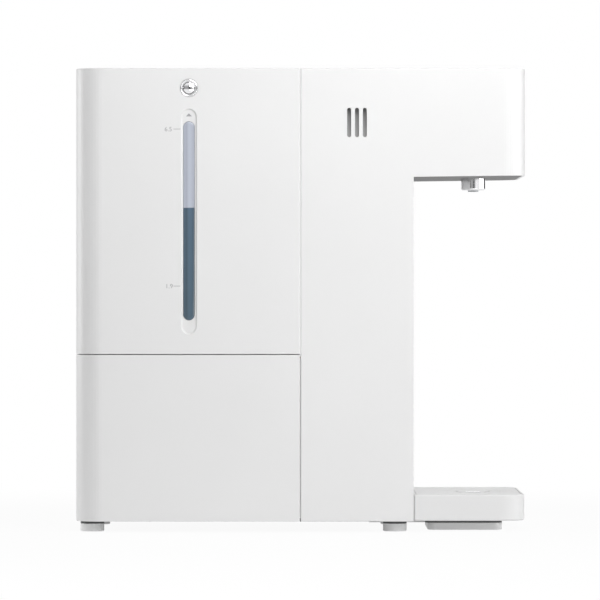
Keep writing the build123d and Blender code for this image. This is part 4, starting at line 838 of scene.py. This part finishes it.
def makeTankHandle():
    v = handleValues
    low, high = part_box("tank_handle")
    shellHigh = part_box("tank_shell")[1]
    pivotY, pivotZ = pivotPlace()
    rear = shellHigh.y - tankValues["wall"] - v["rearGap"]
    corner = tankValues["corner"] - (shellHigh.x - high.x)
    z = (pivotZ - v["height"] / 2, pivotZ + v["height"] / 2)
    bail = planPrism("tankHandle", high.x, (pivotY, rear), z, 0, corner)
    inner = planPrism("inner", high.x - v["thickness"], (pivotY - over, rear - v["bar"]),
                      (z[0] - over, z[1] + over), 0, v["inner"])
    cutBy(bail, inner)
    for x in (-high.x, high.x - v["thickness"]):
        eye = rod("eye", v["eye"], (0, v["thickness"]), "X")
        joined(bail, moved(eye, (x, pivotY, pivotZ)))
    softened(bail, v["edge"], 4, 40)
    # at rest the bail slopes up to the rear
    pivot = Matrix.Translation((0, pivotY, pivotZ))
    bail.data.transform(pivot @ Matrix.Rotation(math.radians(v["tilt"]), 4, "X") @ pivot.inverted())
    standIn(bail, "shadedTrimWhite", "tank_handle")


def makeTankLid():
    v = lidValues
    low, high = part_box("tank_lid")
    z = (high.z - tankValues["lidThickness"], high.z)
    lid = planPrism("tankLid", high.x, (low.y, high.y), z, tight, v["corner"])
    notch = rod("notch", v["notchRadius"], (-over, over))
    moved(notch, (0, high.y - v["notchDepth"] + v["notchRadius"], high.z))
    panel = planPrism("panel", high.x - v["rim"], (low.y + v["rim"], high.y - v["rim"] - v["notchDepth"]),
                      (high.z - v["groove"], high.z + over), v["panelCorner"], v["corner"])
    cutBy(lid, notch, panel)
    softened(lid, v["edge"], 3)
    half, wall, corner = v["skirtHalf"], v["skirtWall"], v["skirtCorner"]
    y = (low.y + v["skirtFront"], high.y - v["skirtRear"])
    skirt = planPrism("lidSkirt", half, y, (low.z, z[0] + v["sunk"]), corner, corner)
    hollow = planPrism("hollow", half - wall, (y[0] + wall, y[1] - wall), (low.z - over, z[1]), corner - wall,
                       corner - wall)
    cutBy(skirt, hollow)
    dressed(smoothed(skirt), "caseWhite", "tank_lid")
    standIn(lid, "caseWhite", "tank_lid")


def ringProfile(inside, outside, low, high):
    # a flat ring whose face is an arch between its two edges
    middle, half = (inside + outside) / 2, (outside - inside) / 2
    arch = [(middle + half * math.cos(a), low + (high - low) * math.sin(a))
            for a in evenly(math.pi, capValues["ringSteps"])]
    return [(inside, 0), (outside, 0), *arch, (inside, 0)]


def makePivotCaps():
    v = capValues
    low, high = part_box("pivot_caps")
    pivotY, pivotZ = pivotPlace()
    rise = v["crown"] - v["domeEdge"]
    ball = (v["domeRadius"] ** 2 + rise ** 2) / (2 * rise)
    widest = math.asin(v["domeRadius"] / ball)
    angles = [widest * (1 - i / v["steps"]) for i in range(v["steps"] + 1)]
    dome = [(ball * math.sin(a), v["crown"] - ball + ball * math.cos(a)) for a in angles]
    # a near-black ring in the groove round the dome is painted shadow
    inside, outside, depth = v["grooveShadow"]
    grooveShadow = ((inside, 0), (outside, 0), (outside, depth), (inside, depth), (inside, 0))
    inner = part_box("tank_shell")[1].x - tankValues["wall"] - v["pinInset"]
    r, length = v["pinRadius"], v["pinLength"]
    turned = (("pivotCap", ((0, 0), *v["side"], *dome), high.x - v["crown"], "polishedChrome"),
              ("pivotGrooveShadow", grooveShadow, high.x - v["crown"], "darkPlastic"),
              ("pivotRing", ringProfile(*v["ring"]), high.x - v["crown"], "polishedChrome"),
              ("pivotPin", ((0, 0), (r, 0), (r, length), (0, length)), inner, "steel"))
    for side, axis in ((-1, "-X"), (1, "X")):
        for name, profile, x, finish in turned:
            piece = smoothed(lathe(name, profile, axis, 72), 40)
            moved(piece, (side * x, pivotY, pivotZ))
            finished = standIn if name == "pivotCap" and side < 0 else dressed
            finished(piece, finish, "pivot_caps")


waterValues = dict(
    wallGap=0.0003, wall=0.002, floorGap=0.0025, corner=0.0164, floatRoom=0.0006, floatTravel=0.0125,
    stemRoom=0.0028, stemTravel=0.0032,
)


def makeWater():
    # the water leaves room for the float and the valve's stem to move
    v = waterValues
    low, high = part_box("tank_vessel")
    inset = v["wall"] + v["wallGap"]
    water = planPrism("water", high.x - inset, (low.y + inset, high.y - inset),
                      (low.z + v["wall"] + v["floorGap"], lensValues["waterLine"]), tight, v["corner"])
    floatLow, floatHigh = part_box("level_float")
    radius = (floatHigh.x - floatLow.x) / 2 + v["floatRoom"]
    floatRoom = rod("room", radius, (low.z, floatHigh.z + v["floatTravel"]))
    stemRoom = rod("stemRoom", v["stemRoom"], (low.z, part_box("valve_poppet")[1].z + v["stemTravel"]))
    stemX, stemY = middleOf("valve_poppet")[:2]
    moved(floatRoom, (0, middleOf("level_float")[1], 0))
    moved(stemRoom, (stemX, stemY, 0))
    cutBy(water, floatRoom, stemRoom)
    dressed(smoothed(water), "waterBody", "tank_vessel")


springValues = dict(wire=0.0005, turns=4, steps=32, sides=10, rise=0.0025)


def makeValveSpring():
    # a coil of steel wire, the length of the spring, in its place
    v = springValues
    low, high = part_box("valve_spring")
    x, y = middleOf("valve_spring")[:2]
    length = high.z - low.z
    wire, steps = v["wire"], v["turns"] * v["steps"]
    bm = bmesh.new()
    across = Matrix.Translation(((high.x - low.x) / 2 - wire, 0, wire)) @ Matrix.Rotation(math.pi / 2, 4, "X")
    bmesh.ops.create_circle(bm, segments=v["sides"], radius=wire, matrix=across)
    bmesh.ops.spin(bm, geom=bm.verts[:] + bm.edges[:], cent=(0, 0, 0), axis=(0, 0, 1), steps=steps,
                   angle=2 * math.pi * v["turns"], dvec=(0, 0, (length - 2 * wire) / steps))
    bmesh.ops.holes_fill(bm, edges=[edge for edge in bm.edges if edge.is_boundary])
    spring = moved(smoothed(meshOf("valveSpring", bm), 60), (x, y, low.z))
    standIn(spring, "steel", "valve_spring")
    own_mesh(spring)


# head: front panel, display, buttons and top cover

panelValues = dict(
    width=0.124, height=0.0705, middleZ=0.37075, corner=0.010, gap=0.0003, edge=0.0006, flange=0.0035,
    flangeDepth=0.002, flangeLap=0.001, buttonGap=0.0003, buttonRadius=0.008,
)
displayValues = dict(
    size=(0.052, 0.020), corner=0.003, edge=0.0004, proud=0.00003, depth=0.00004, drop=0.00525,
    texts=(("displayNumber", "45", 0.0105, -0.008), ("displayUnit", "\u00b0C", 0.0048, 0.0085)),
)
buttonValues = dict(edge=0.0008, steps=5, stem=0.0025, flange=0.0015, markSize=0.0062, proud=0.00005)
buttonMarks = {"cold_button": "blueMark", "lock_button": "greyInk", "hot_button": "redMark"}
# shares of a symbol's size
dropShares = dict(radius=0.42, waist=0.45, point=0.75, lower=0.12)
lockShares = dict(body=0.36, flat=0.8, lower=0.16, arch=0.12, ring=(0.17, 0.26))


def makeFascia():
    v = panelValues
    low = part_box("fascia")[0]
    y = (low.y, low.y + shellValues["wall"] + v["flangeDepth"])
    middle = (0, v["middleZ"])
    width, height = v["width"] - 2 * v["gap"], v["height"] - 2 * v["gap"]
    panel = roundedPlate("fascia", width, height, v["corner"], y, middle, 12)
    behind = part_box("display_lens")[1].y
    pocket = roundedPlate("pocket", *displayValues["size"], displayValues["corner"], (low.y - over, behind),
                          (0, middleOf("display_lens")[2]), 8)
    cutters = [pocket]
    for name in buttonMarks:
        x, z = middleOf(name)[::2]
        hole = rod("hole", v["buttonRadius"] + v["buttonGap"], (-over, over + y[1] - y[0]), "Y", 72)
        cutters.append(moved(hole, (x, y[0], z)))
    cutBy(panel, *cutters)
    softened(panel, v["edge"], 3)
    wider, lap = v["flange"], v["flangeLap"]
    flange = roundedPlate("fasciaFlange", v["width"] + 2 * wider, v["height"] + 2 * wider,
                          v["corner"] + wider, (y[1] - v["flangeDepth"], y[1]), middle, 8)
    hollow = roundedPlate("hollow", v["width"] - 2 * lap, v["height"] - 2 * lap, v["corner"] - lap,
                          (y[0], y[1] + over), middle, 8)
    cutBy(flange, hollow)
    dressed(smoothed(flange), "glossPanel", "fascia")
    standIn(panel, "glossPanel", "fascia")


def makeDisplay():
    v = displayValues
    low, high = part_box("display_lens")
    middle = (low.z + high.z) / 2
    lens = roundedPlate("displayLens", high.x - low.x, high.z - low.z, v["corner"], (low.y, high.y),
                        (0, middle), 8)
    softened(lens, v["edge"], 3)
    standIn(lens, "glossPanel", "display_lens")
    for name, words, height, x in v["texts"]:
        number = textMesh(name, words, height, v["depth"])
        number.data.transform(Matrix.Rotation(math.pi / 2, 4, "X"))
        moved(number, (x, low.y - v["proud"], middle - v["drop"]))
        dressed(number, "displayGlow", "display_lens")


def flatMark(bm):
    # a flat symbol, stood upright and given its thickness
    bmesh.ops.rotate(bm, verts=bm.verts[:], matrix=Matrix.Rotation(math.pi / 2, 3, "X"))
    raised(bm, bm.faces[:], (0, 2 * buttonValues["proud"], 0))
    return meshOf("mark", bm)


def dropMark(size):
    # a round drop whose upper half runs to a point
    v = dropShares
    bm = bmesh.new()
    bmesh.ops.create_circle(bm, cap_ends=True, segments=40, radius=size * v["radius"])
    for vert in bm.verts:
        if vert.co.y > 0:
            rise = vert.co.y / (size * v["radius"])
            vert.co.x *= 1 - v["waist"] * rise ** 2
            vert.co.y *= 1 + v["point"] * rise ** 3
    bmesh.ops.translate(bm, verts=bm.verts[:], vec=(0, -size * v["lower"], 0))
    return flatMark(bm)


def lockMark(size):
    # a padlock: a flat body under an arch
    v = lockShares
    bm = bmesh.new()
    bmesh.ops.create_grid(bm, x_segments=1, y_segments=1, size=size * v["body"])
    bmesh.ops.scale(bm, verts=bm.verts[:], vec=(1, v["flat"], 1))
    bmesh.ops.translate(bm, verts=bm.verts[:], vec=(0, -size * v["lower"], 0))
    archY = size * v["arch"]
    ring = [bm.verts.new((size * r, archY, 0)) for r in v["ring"]]
    edge = bm.edges.new(ring)
    bmesh.ops.spin(bm, geom=ring + [edge], cent=(0, archY, 0), axis=(0, 0, 1), angle=math.pi, steps=16)
    return flatMark(bm)


def makeButtons():
    v = buttonValues
    radius = panelValues["buttonRadius"]
    rounding = [(radius - v["edge"] * (1 - math.cos(a)), v["edge"] * (1 - math.sin(a)))
                for a in evenly(math.pi / 2, v["steps"])]
    back = shellValues["wall"] + panelValues["flangeDepth"]
    rear = back + v["flange"]
    for name, mark in buttonMarks.items():
        low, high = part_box(name)
        x, z = middleOf(name)[::2]
        flange = (high.x - low.x) / 2
        length = high.y - low.y
        profile = [(0, length), (v["stem"], length), (v["stem"], rear), (flange, rear), (flange, back),
                   (radius, back), *rounding, (0, 0)]
        button = smoothed(lathe(name.replace("_b", "B"), profile, "Y", 72), 30)
        standIn(moved(button, (x, low.y, z)), "shadedTrimWhite", name)
        symbol = lockMark(v["markSize"]) if name == "lock_button" else dropMark(v["markSize"])
        symbol.name = name.replace("_button", "Mark")
        dressed(moved(symbol, (x, low.y - v["proud"], z)), mark, name)


topValues = dict(cornerInset=0.0028, edge=0.0006)


def makeTopCover():
    low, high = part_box("top_cover")
    corner = shellValues["corner"] - topValues["cornerInset"]
    cover = planPrism("topCover", high.x, (low.y, high.y), (low.z, high.z), corner, 0)
    softened(cover, topValues["edge"], 3)
    standIn(cover, "caseWhite", "top_cover")


# column front, with two slots for the tray's hooks

columnValues = dict(slotX=0.050, slotHalf=0.0074, slotLow=0.0147, slotHigh=0.0185, edge=0.0004)


def makeColumnFront():
    v = columnValues
    low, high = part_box("column_front")
    panel = boxPrism("columnFront", low, high)
    cutBy(panel, *[boxPrism("slot", (x - v["slotHalf"], low.y - over, v["slotLow"]),
                            (x + v["slotHalf"], high.y + over, v["slotHigh"]))
                   for x in (-v["slotX"], v["slotX"])])
    softened(panel, v["edge"], 2)
    standIn(panel, "caseWhite", "column_front")


# nozzle

nozzleValues = dict(
    sleeve=0.01125, edge=0.0018, wall=0.0014, lip=0.0004, flange=0.0030, flangeHeight=0.0018, tube=0.00485,
    bore=0.0033, tubeInset=0.0002, tubeEdge=0.0006, tubeDrop=0.00002, gap=0.0001, steps=8, tubeSteps=5,
)


def makeNozzle():
    v = nozzleValues
    low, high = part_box("nozzle_sleeve")
    x, y = middleOf("nozzle_sleeve")[:2]
    sleeve, wall, flange = v["sleeve"], v["wall"], v["sleeve"] + v["flange"]
    inside = v["tube"] + v["gap"]
    profile = [(flange, high.z), (flange, high.z - v["flangeHeight"]), (sleeve, high.z - v["flangeHeight"]),
               *roundedCorner(sleeve, low.z, v["edge"], v["steps"]),
               (inside + v["lip"], low.z), (inside, low.z + v["lip"]), (inside, low.z + wall),
               (sleeve - wall, low.z + wall), (sleeve - wall, high.z), (flange, high.z)]
    outer = smoothed(lathe("nozzleSleeve", profile, "Z", 96), 40)
    standIn(moved(outer, (x, y, 0)), "polishedChrome", "nozzle_sleeve")
    # the outlet tube's end is lined with chrome
    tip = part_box("nozzle_manifold")[0].z
    tube, bore = v["tube"] - v["tubeInset"], v["bore"] - v["tubeInset"]
    lining = [(tube, high.z), *roundedCorner(tube, tip, v["tubeEdge"], v["tubeSteps"]), (bore, tip),
              (bore, high.z)]
    liner = smoothed(lathe("nozzleTip", lining, "Z", 72), 40)
    dressed(moved(liner, (x, y, -v["tubeDrop"])), "polishedChrome", "nozzle_sleeve")


# drip tray, its cover and its support

trayValues = dict(
    wall=0.0024, frontCorner=0.021, rearCorner=0.002, lowerEdge=0.0015, rim=0.0006, hookX=0.050,
    hookHalf=0.007, hookHeight=0.003, hookReach=0.007, hookRise=0.005, hookEdge=0.0004, ledgeGap=0.0002,
    ledgeSunk=0.0003, ledgeWidth=0.003, ledgeThickness=0.002,
)
trayCoverValues = dict(
    front=0.0181, rear=0.001, thickness=0.0024, dish=0.033, depth=0.0024, bowlSteps=14, boss=0.0026,
    bossSunk=0.0002, margin=0.003, drains=10, drainLength=0.014, drainWidth=0.0026, drainCircle=0.020,
    button=0.009, buttonHeight=0.0014, buttonEdge=0.0005, edge=0.0003, cap=(0.0076, 0.0071, 0.0003),
    capSink=0.0003,
)


def makeDripTray():
    v = trayValues
    low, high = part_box("drip_tray")
    wall, corner = v["wall"], v["frontCorner"]
    rear = high.y - v["hookReach"]
    tray = planPrism("dripTray", high.x, (low.y, rear), (low.z, high.z), corner, v["rearCorner"], 20)
    softened(tray, v["lowerEdge"], 4, 60)
    inner = planPrism("inner", high.x - wall, (low.y + wall, rear - wall), (low.z + wall, high.z + over),
                      corner - wall, tight, 20)
    cutBy(tray, inner)
    softened(tray, v["rim"], 3)
    hookZ = low.z + v["hookRise"]
    for x in (-v["hookX"], v["hookX"]):
        hook = boxPrism("trayHook", (x - v["hookHalf"], rear - wall, hookZ),
                        (x + v["hookHalf"], high.y, hookZ + v["hookHeight"]))
        dressed(softened(hook, v["hookEdge"], 2), "shadedTrimWhite", "drip_tray")
    # a ledge round the inside carries the cover
    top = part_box("tray_cover")[0].z + trayCoverValues["boss"] - v["ledgeGap"]
    outside, within = wall - v["ledgeSunk"], wall + v["ledgeWidth"]
    ledge = planPrism("trayLedge", high.x - outside, (low.y + outside, rear - outside),
                      (top - v["ledgeThickness"], top), corner - wall, tight, 16)
    hollow = planPrism("hollow", high.x - within, (low.y + within, rear - within), (top - over, top + over),
                       corner - within, tight, 16)
    cutBy(ledge, hollow)
    dressed(smoothed(ledge), "shadedTrimWhite", "drip_tray")
    standIn(tray, "shadedTrimWhite", "drip_tray")


def makeTrayCover():
    v = trayCoverValues
    low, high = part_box("tray_cover")
    middle = (0, middleOf("nozzle_sleeve")[1], 0)
    z = (high.z - v["thickness"], high.z)
    cover = planPrism("trayCover", high.x, (low.y, high.y), z, v["front"], v["rear"], 18)
    upright = Matrix(((0, 0, 1, 0), (0, 1, 0, 0), (1, 0, 0, 0), (0, 0, 0, 1)))
    start = Matrix.Translation((0, middle[1], low.z - over))
    slots = []
    for i in range(v["drains"]):
        slot = slotPrism("drain", v["drainLength"], v["drainWidth"], 4 * over, 0, 6)
        turn = Matrix.Rotation(2 * math.pi * i / v["drains"], 4, "Z")
        slot.data.transform(start @ turn @ Matrix.Translation((v["drainCircle"], 0, 0)) @ upright)
        slots.append(slot)
    boss = rod("boss", v["dish"] + v["margin"], (low.z, z[0] + v["bossSunk"]), "Z", 96)
    joined(cover, moved(boss, middle))
    cutBy(cover, merged(slots))
    # a shallow dish, with a button over the drain in its middle
    floor = z[1] - v["depth"]
    ball = (v["dish"] ** 2 + v["depth"] ** 2) / (2 * v["depth"])
    widest = math.asin(v["dish"] / ball)
    bowl = [(ball * math.sin(a), floor + ball - ball * math.cos(a)) for a in evenly(widest, v["bowlSteps"])]
    dish = lathe("dish", [*bowl, (v["dish"], z[1] + over), (0, z[1] + over)], "Z", 128)
    cutBy(cover, moved(dish, middle))
    top = floor + v["buttonHeight"]
    r, edge = v["button"], v["buttonEdge"]
    knob = lathe("knob", ((0, low.z), (r, low.z), (r, top - edge), (r - edge, top), (0, top)), "Z", 96)
    joined(cover, moved(knob, middle))
    radius, face, side = v["cap"]
    capTop = high.z - v["capSink"]
    profile = ((0, top - side), (radius, top - side), (radius, capTop - side), (face, capTop), (0, capTop))
    cap = smoothed(lathe("drainCap", profile, "Z", 64), 40)
    dressed(moved(cap, middle), "polishedChrome", "tray_cover", "chrome_trim")
    softened(cover, v["edge"], 2)
    standIn(cover, "shadedTrimWhite", "tray_cover")


supportValues = dict(
    corner=0.008, wall=0.0024, edge=0.0005, rearInset=0.0133, lip=0.0002, shadowLipRear=0.0025, shadowLipHeight=0.0031,
    clearance=0.0001, tongueInset=0.008, tongueLow=0.0069, tongueHigh=0.0094,
)


def makeTraySupport():
    # the support ends under the tray in a near-black lip, painted shadow from the tray, and a tongue joins it
    # to the column
    v = supportValues
    low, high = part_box("tray_support")
    trayLow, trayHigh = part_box("drip_tray")
    corner, wall = v["corner"], v["wall"]
    rear = trayHigh.y - trayValues["hookReach"] - v["rearInset"]
    top = trayLow.z - v["clearance"] - v["shadowLipHeight"]
    support = planPrism("traySupport", high.x, (low.y, rear), (low.z, top), corner, corner, 10)
    hollow = planPrism("hollow", high.x - wall, (low.y + wall, rear - wall), (low.z - over, top - wall),
                       corner - wall, corner - wall, 10)
    cutBy(support, hollow)
    softened(support, v["edge"], 3)
    # the near-black lip is painted shadow under the tray
    lip = planPrism("supportShadowLip", high.x + v["lip"], (low.y, rear + v["shadowLipRear"]),
                    (top, top + v["shadowLipHeight"]), corner, corner, 10)
    dressed(smoothed(lip), "paintedShadowGrey", "tray_support")
    tongueX = high.x - v["tongueInset"]
    tongue = boxPrism("trayTongue", (-tongueX, rear - wall, v["tongueLow"]),
                      (tongueX, high.y, v["tongueHigh"]))
    dressed(tongue, "baseGrey", "tray_support")
    standIn(support, "baseGrey", "tray_support")


# feet, each with a near-black band at its top: painted shadow under the base

footValues = dict(radius=0.01075, edge=0.0010, socket=0.004, socketDepth=0.004, shadowBand=0.0024, steps=4)


def makeFeet():
    v = footValues
    low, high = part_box("feet")
    r, top = v["radius"], high.z - v["shadowBand"]
    profile = [(0, top), (r, top), *roundedCorner(r, 0.0, v["edge"], v["steps"]),
               (v["socket"], 0), (v["socket"], v["socketDepth"]), (0, v["socketDepth"])]
    finished = standIn
    for x in (r - high.x, high.x - r):
        for y in (low.y + r, high.y - r):
            foot = smoothed(lathe("foot", profile, "Z", 64), 35)
            # the band at the top of each foot is painted shadow under the base
            shadowBand = smoothed(rod("footShadowBand", r, (top, high.z)))
            finished(moved(foot, (x, y, 0)), "footRubber", "feet")
            dressed(moved(shadowBand, (x, y, 0)), "paintedShadowGrey", "feet")
            finished = dressed


for make in (
    makeMainShell, makeLowerCover, makeTopCover, makeColumnFront, makeFascia, makeDisplay, makeButtons,
    makeNozzle, makeTankShell, makeLevelLens, makeMarks, makeTankHandle, makeTankLid, makePivotCaps,
    makeWater, makeValveSpring, makeDripTray, makeTrayCover, makeTraySupport, makeFeet,
):
    make()
print("pieces made")


# floor, lights and camera

stageValues = dict(
    floorSize=14.0, floorLow=(0.76, 0.76, 0.76), floorHigh=(0.78, 0.78, 0.78), grain=3.0, rough=0.9,
    nearGlow=0.94, fadeStart=0.35, fadeEnd=1.1, underLight=0.34, underReach=0.30, underSoftness=0.2,
)
lightValues = {
    "key": dict(place=(-0.8, -0.22, 0.8), aim=(0, -0.05, 0.35), size=(0.6, 0.6), power=5.0),
    "graze": dict(place=(-0.5, -1.6, 0.3), aim=(-0.1, 0.1, 0.27), size=(0.3, 0.3), power=4.5),
    "fill": dict(place=(-1.9, -0.75, 0.12), aim=(0, -0.05, 0.1), size=(1.6, 0.16), power=2.8),
    "top": dict(place=(0.0, -0.2, 1.8), aim=(0, 0, 0.2), size=(1.4, 1.4), power=2.8),
    "front": dict(place=(0.35, -1.9, 0.6), aim=(0, 0, 0.25), size=(1.0, 1.0), power=4),
    "rear": dict(place=(0.7, 1.9, 0.6), aim=(0, 0, 0.25), size=(1.0, 1.0), power=13),
}
worldLight = 0.365
# what chrome sees round the machine, from its front to its rear, with a dark card beyond the front corner
mirrorStops = ((0.0, 1.0), (0.31, 1.0), (0.37, 0.60), (0.44, 0.10), (0.50, 0.12), (0.56, 0.40), (0.68, 0.42),
               (0.74, 0.16), (0.80, 0.34), (0.92, 0.20), (1.0, 0.12))
mirrorValues = dict(
    farSide=0.30, farSoftness=0.3, cardNear=0.34, cardFar=0.84, cardSide=0.45, cardSoftness=0.1, card=0.05,
    above=0.26, aboveSoftness=0.24,
)
cameraValues = dict(distance=4.740, y=0.00045, z=0.210, lens=307.98, sensor=36.0, reach=50)


def makeFloor():
    # white to the camera, with a soft light of its own near the machine
    v = stageValues
    bm = bmesh.new()
    bmesh.ops.create_grid(bm, x_segments=1, y_segments=1, size=v["floorSize"] / 2)
    floor = meshOf("floor", bm)
    finish = Finish("paleFloor", Roughness=v["rough"])
    x, y, z = finish.axes()
    distance = (x * x + y * y) ** 0.5
    finish.feed(Base_Color=finish.blend(finish.noise(v["grain"]), v["floorLow"], v["floorHigh"]))
    glow = finish.add("ShaderNodeEmission", inputs={0: (1, 1, 1, 1), 1: 1.0})
    seen = finish.lightPath("Camera", "Glossy", "Transmission")
    reach = v["fadeEnd"] - v["fadeStart"]
    fade = distance.above(v["fadeStart"] + reach / 2, reach)
    under = v["underLight"] * (1 - distance.above(v["underReach"], v["underSoftness"]))
    share = seen * (v["nearGlow"] + (1 - v["nearGlow"]) * fade) + (1 - seen) * under
    plain = Signal(finish, finish.shader.outputs[0])
    mixed = finish.add("ShaderNodeMixShader", inputs={0: share, 1: plain, 2: glow})
    finish.tree.links.new(mixed.socket, finish.output.inputs[0])
    finishAs(floor, finish)


def makeWorld():
    v = mirrorValues
    world = bpy.data.worlds.new("studio")
    bpy.context.scene.world = world
    world.use_nodes = True
    studio = NodeTree(world.node_tree)
    lit = studio.add("ShaderNodeBackground", inputs={0: (1, 1, 1, 1), 1: worldLight})
    towards = studio.add("ShaderNodeTexCoord", out="Generated")
    x, y, z = studio.split(towards)
    band = studio.ramp(mirrorStops, 0.5 + 0.5 * y)
    soft = v["cardSoftness"]
    across = x.above(v["cardNear"], soft) * (1 - x.above(v["cardFar"], soft))
    card = across * (0 - y).above(v["cardSide"], soft)
    around = studio.blend(x.above(v["farSide"], v["farSoftness"]), band, (1, 1, 1))
    sides = studio.blend(card, around, (v["card"], v["card"], v["card"]))
    high = z.absolute().above(v["above"], v["aboveSoftness"])
    tone = studio.blend(high, sides, (1, 1, 1))
    mirrored = studio.add("ShaderNodeBackground", inputs={0: tone, 1: 1.0})
    seen = studio.add("ShaderNodeBackground", inputs={0: (1, 1, 1, 1), 1: 1.0})
    plain = studio.add("ShaderNodeMixShader", inputs={0: studio.lightPath("Glossy"), 1: lit, 2: mirrored})
    clear = studio.lightPath("Camera", "Transmission")
    mixed = studio.add("ShaderNodeMixShader", inputs={0: clear, 1: plain, 2: seen})
    studio.tree.links.new(mixed.socket, studio.tree.nodes["World Output"].inputs[0])


def makeLights():
    for name, v in lightValues.items():
        lamp = bpy.data.lights.new(name, "AREA")
        lamp.shape = "RECTANGLE"
        lamp.size, lamp.size_y = v["size"]
        lamp.energy = v["power"]
        obj = bpy.data.objects.new(name, lamp)
        obj.location = v["place"]
        obj.rotation_euler = (Vector(v["aim"]) - Vector(v["place"])).to_track_quat("-Z", "Y").to_euler()
        bpy.context.scene.collection.objects.link(obj)


def makeCamera():
    v = cameraValues
    camera = bpy.data.cameras.new("camera")
    camera.lens = v["lens"]
    camera.sensor_width = v["sensor"]
    camera.clip_end = v["reach"]
    obj = bpy.data.objects.new("camera", camera)
    obj.location = (-v["distance"], v["y"], v["z"])
    obj.rotation_euler = (math.pi / 2, 0, -math.pi / 2)
    bpy.context.scene.collection.objects.link(obj)
    bpy.context.scene.camera = obj


makeFloor()
makeWorld()
makeLights()
makeCamera()
bpy.context.scene.view_settings.view_transform = "Standard"
print("stage, lights and camera set")
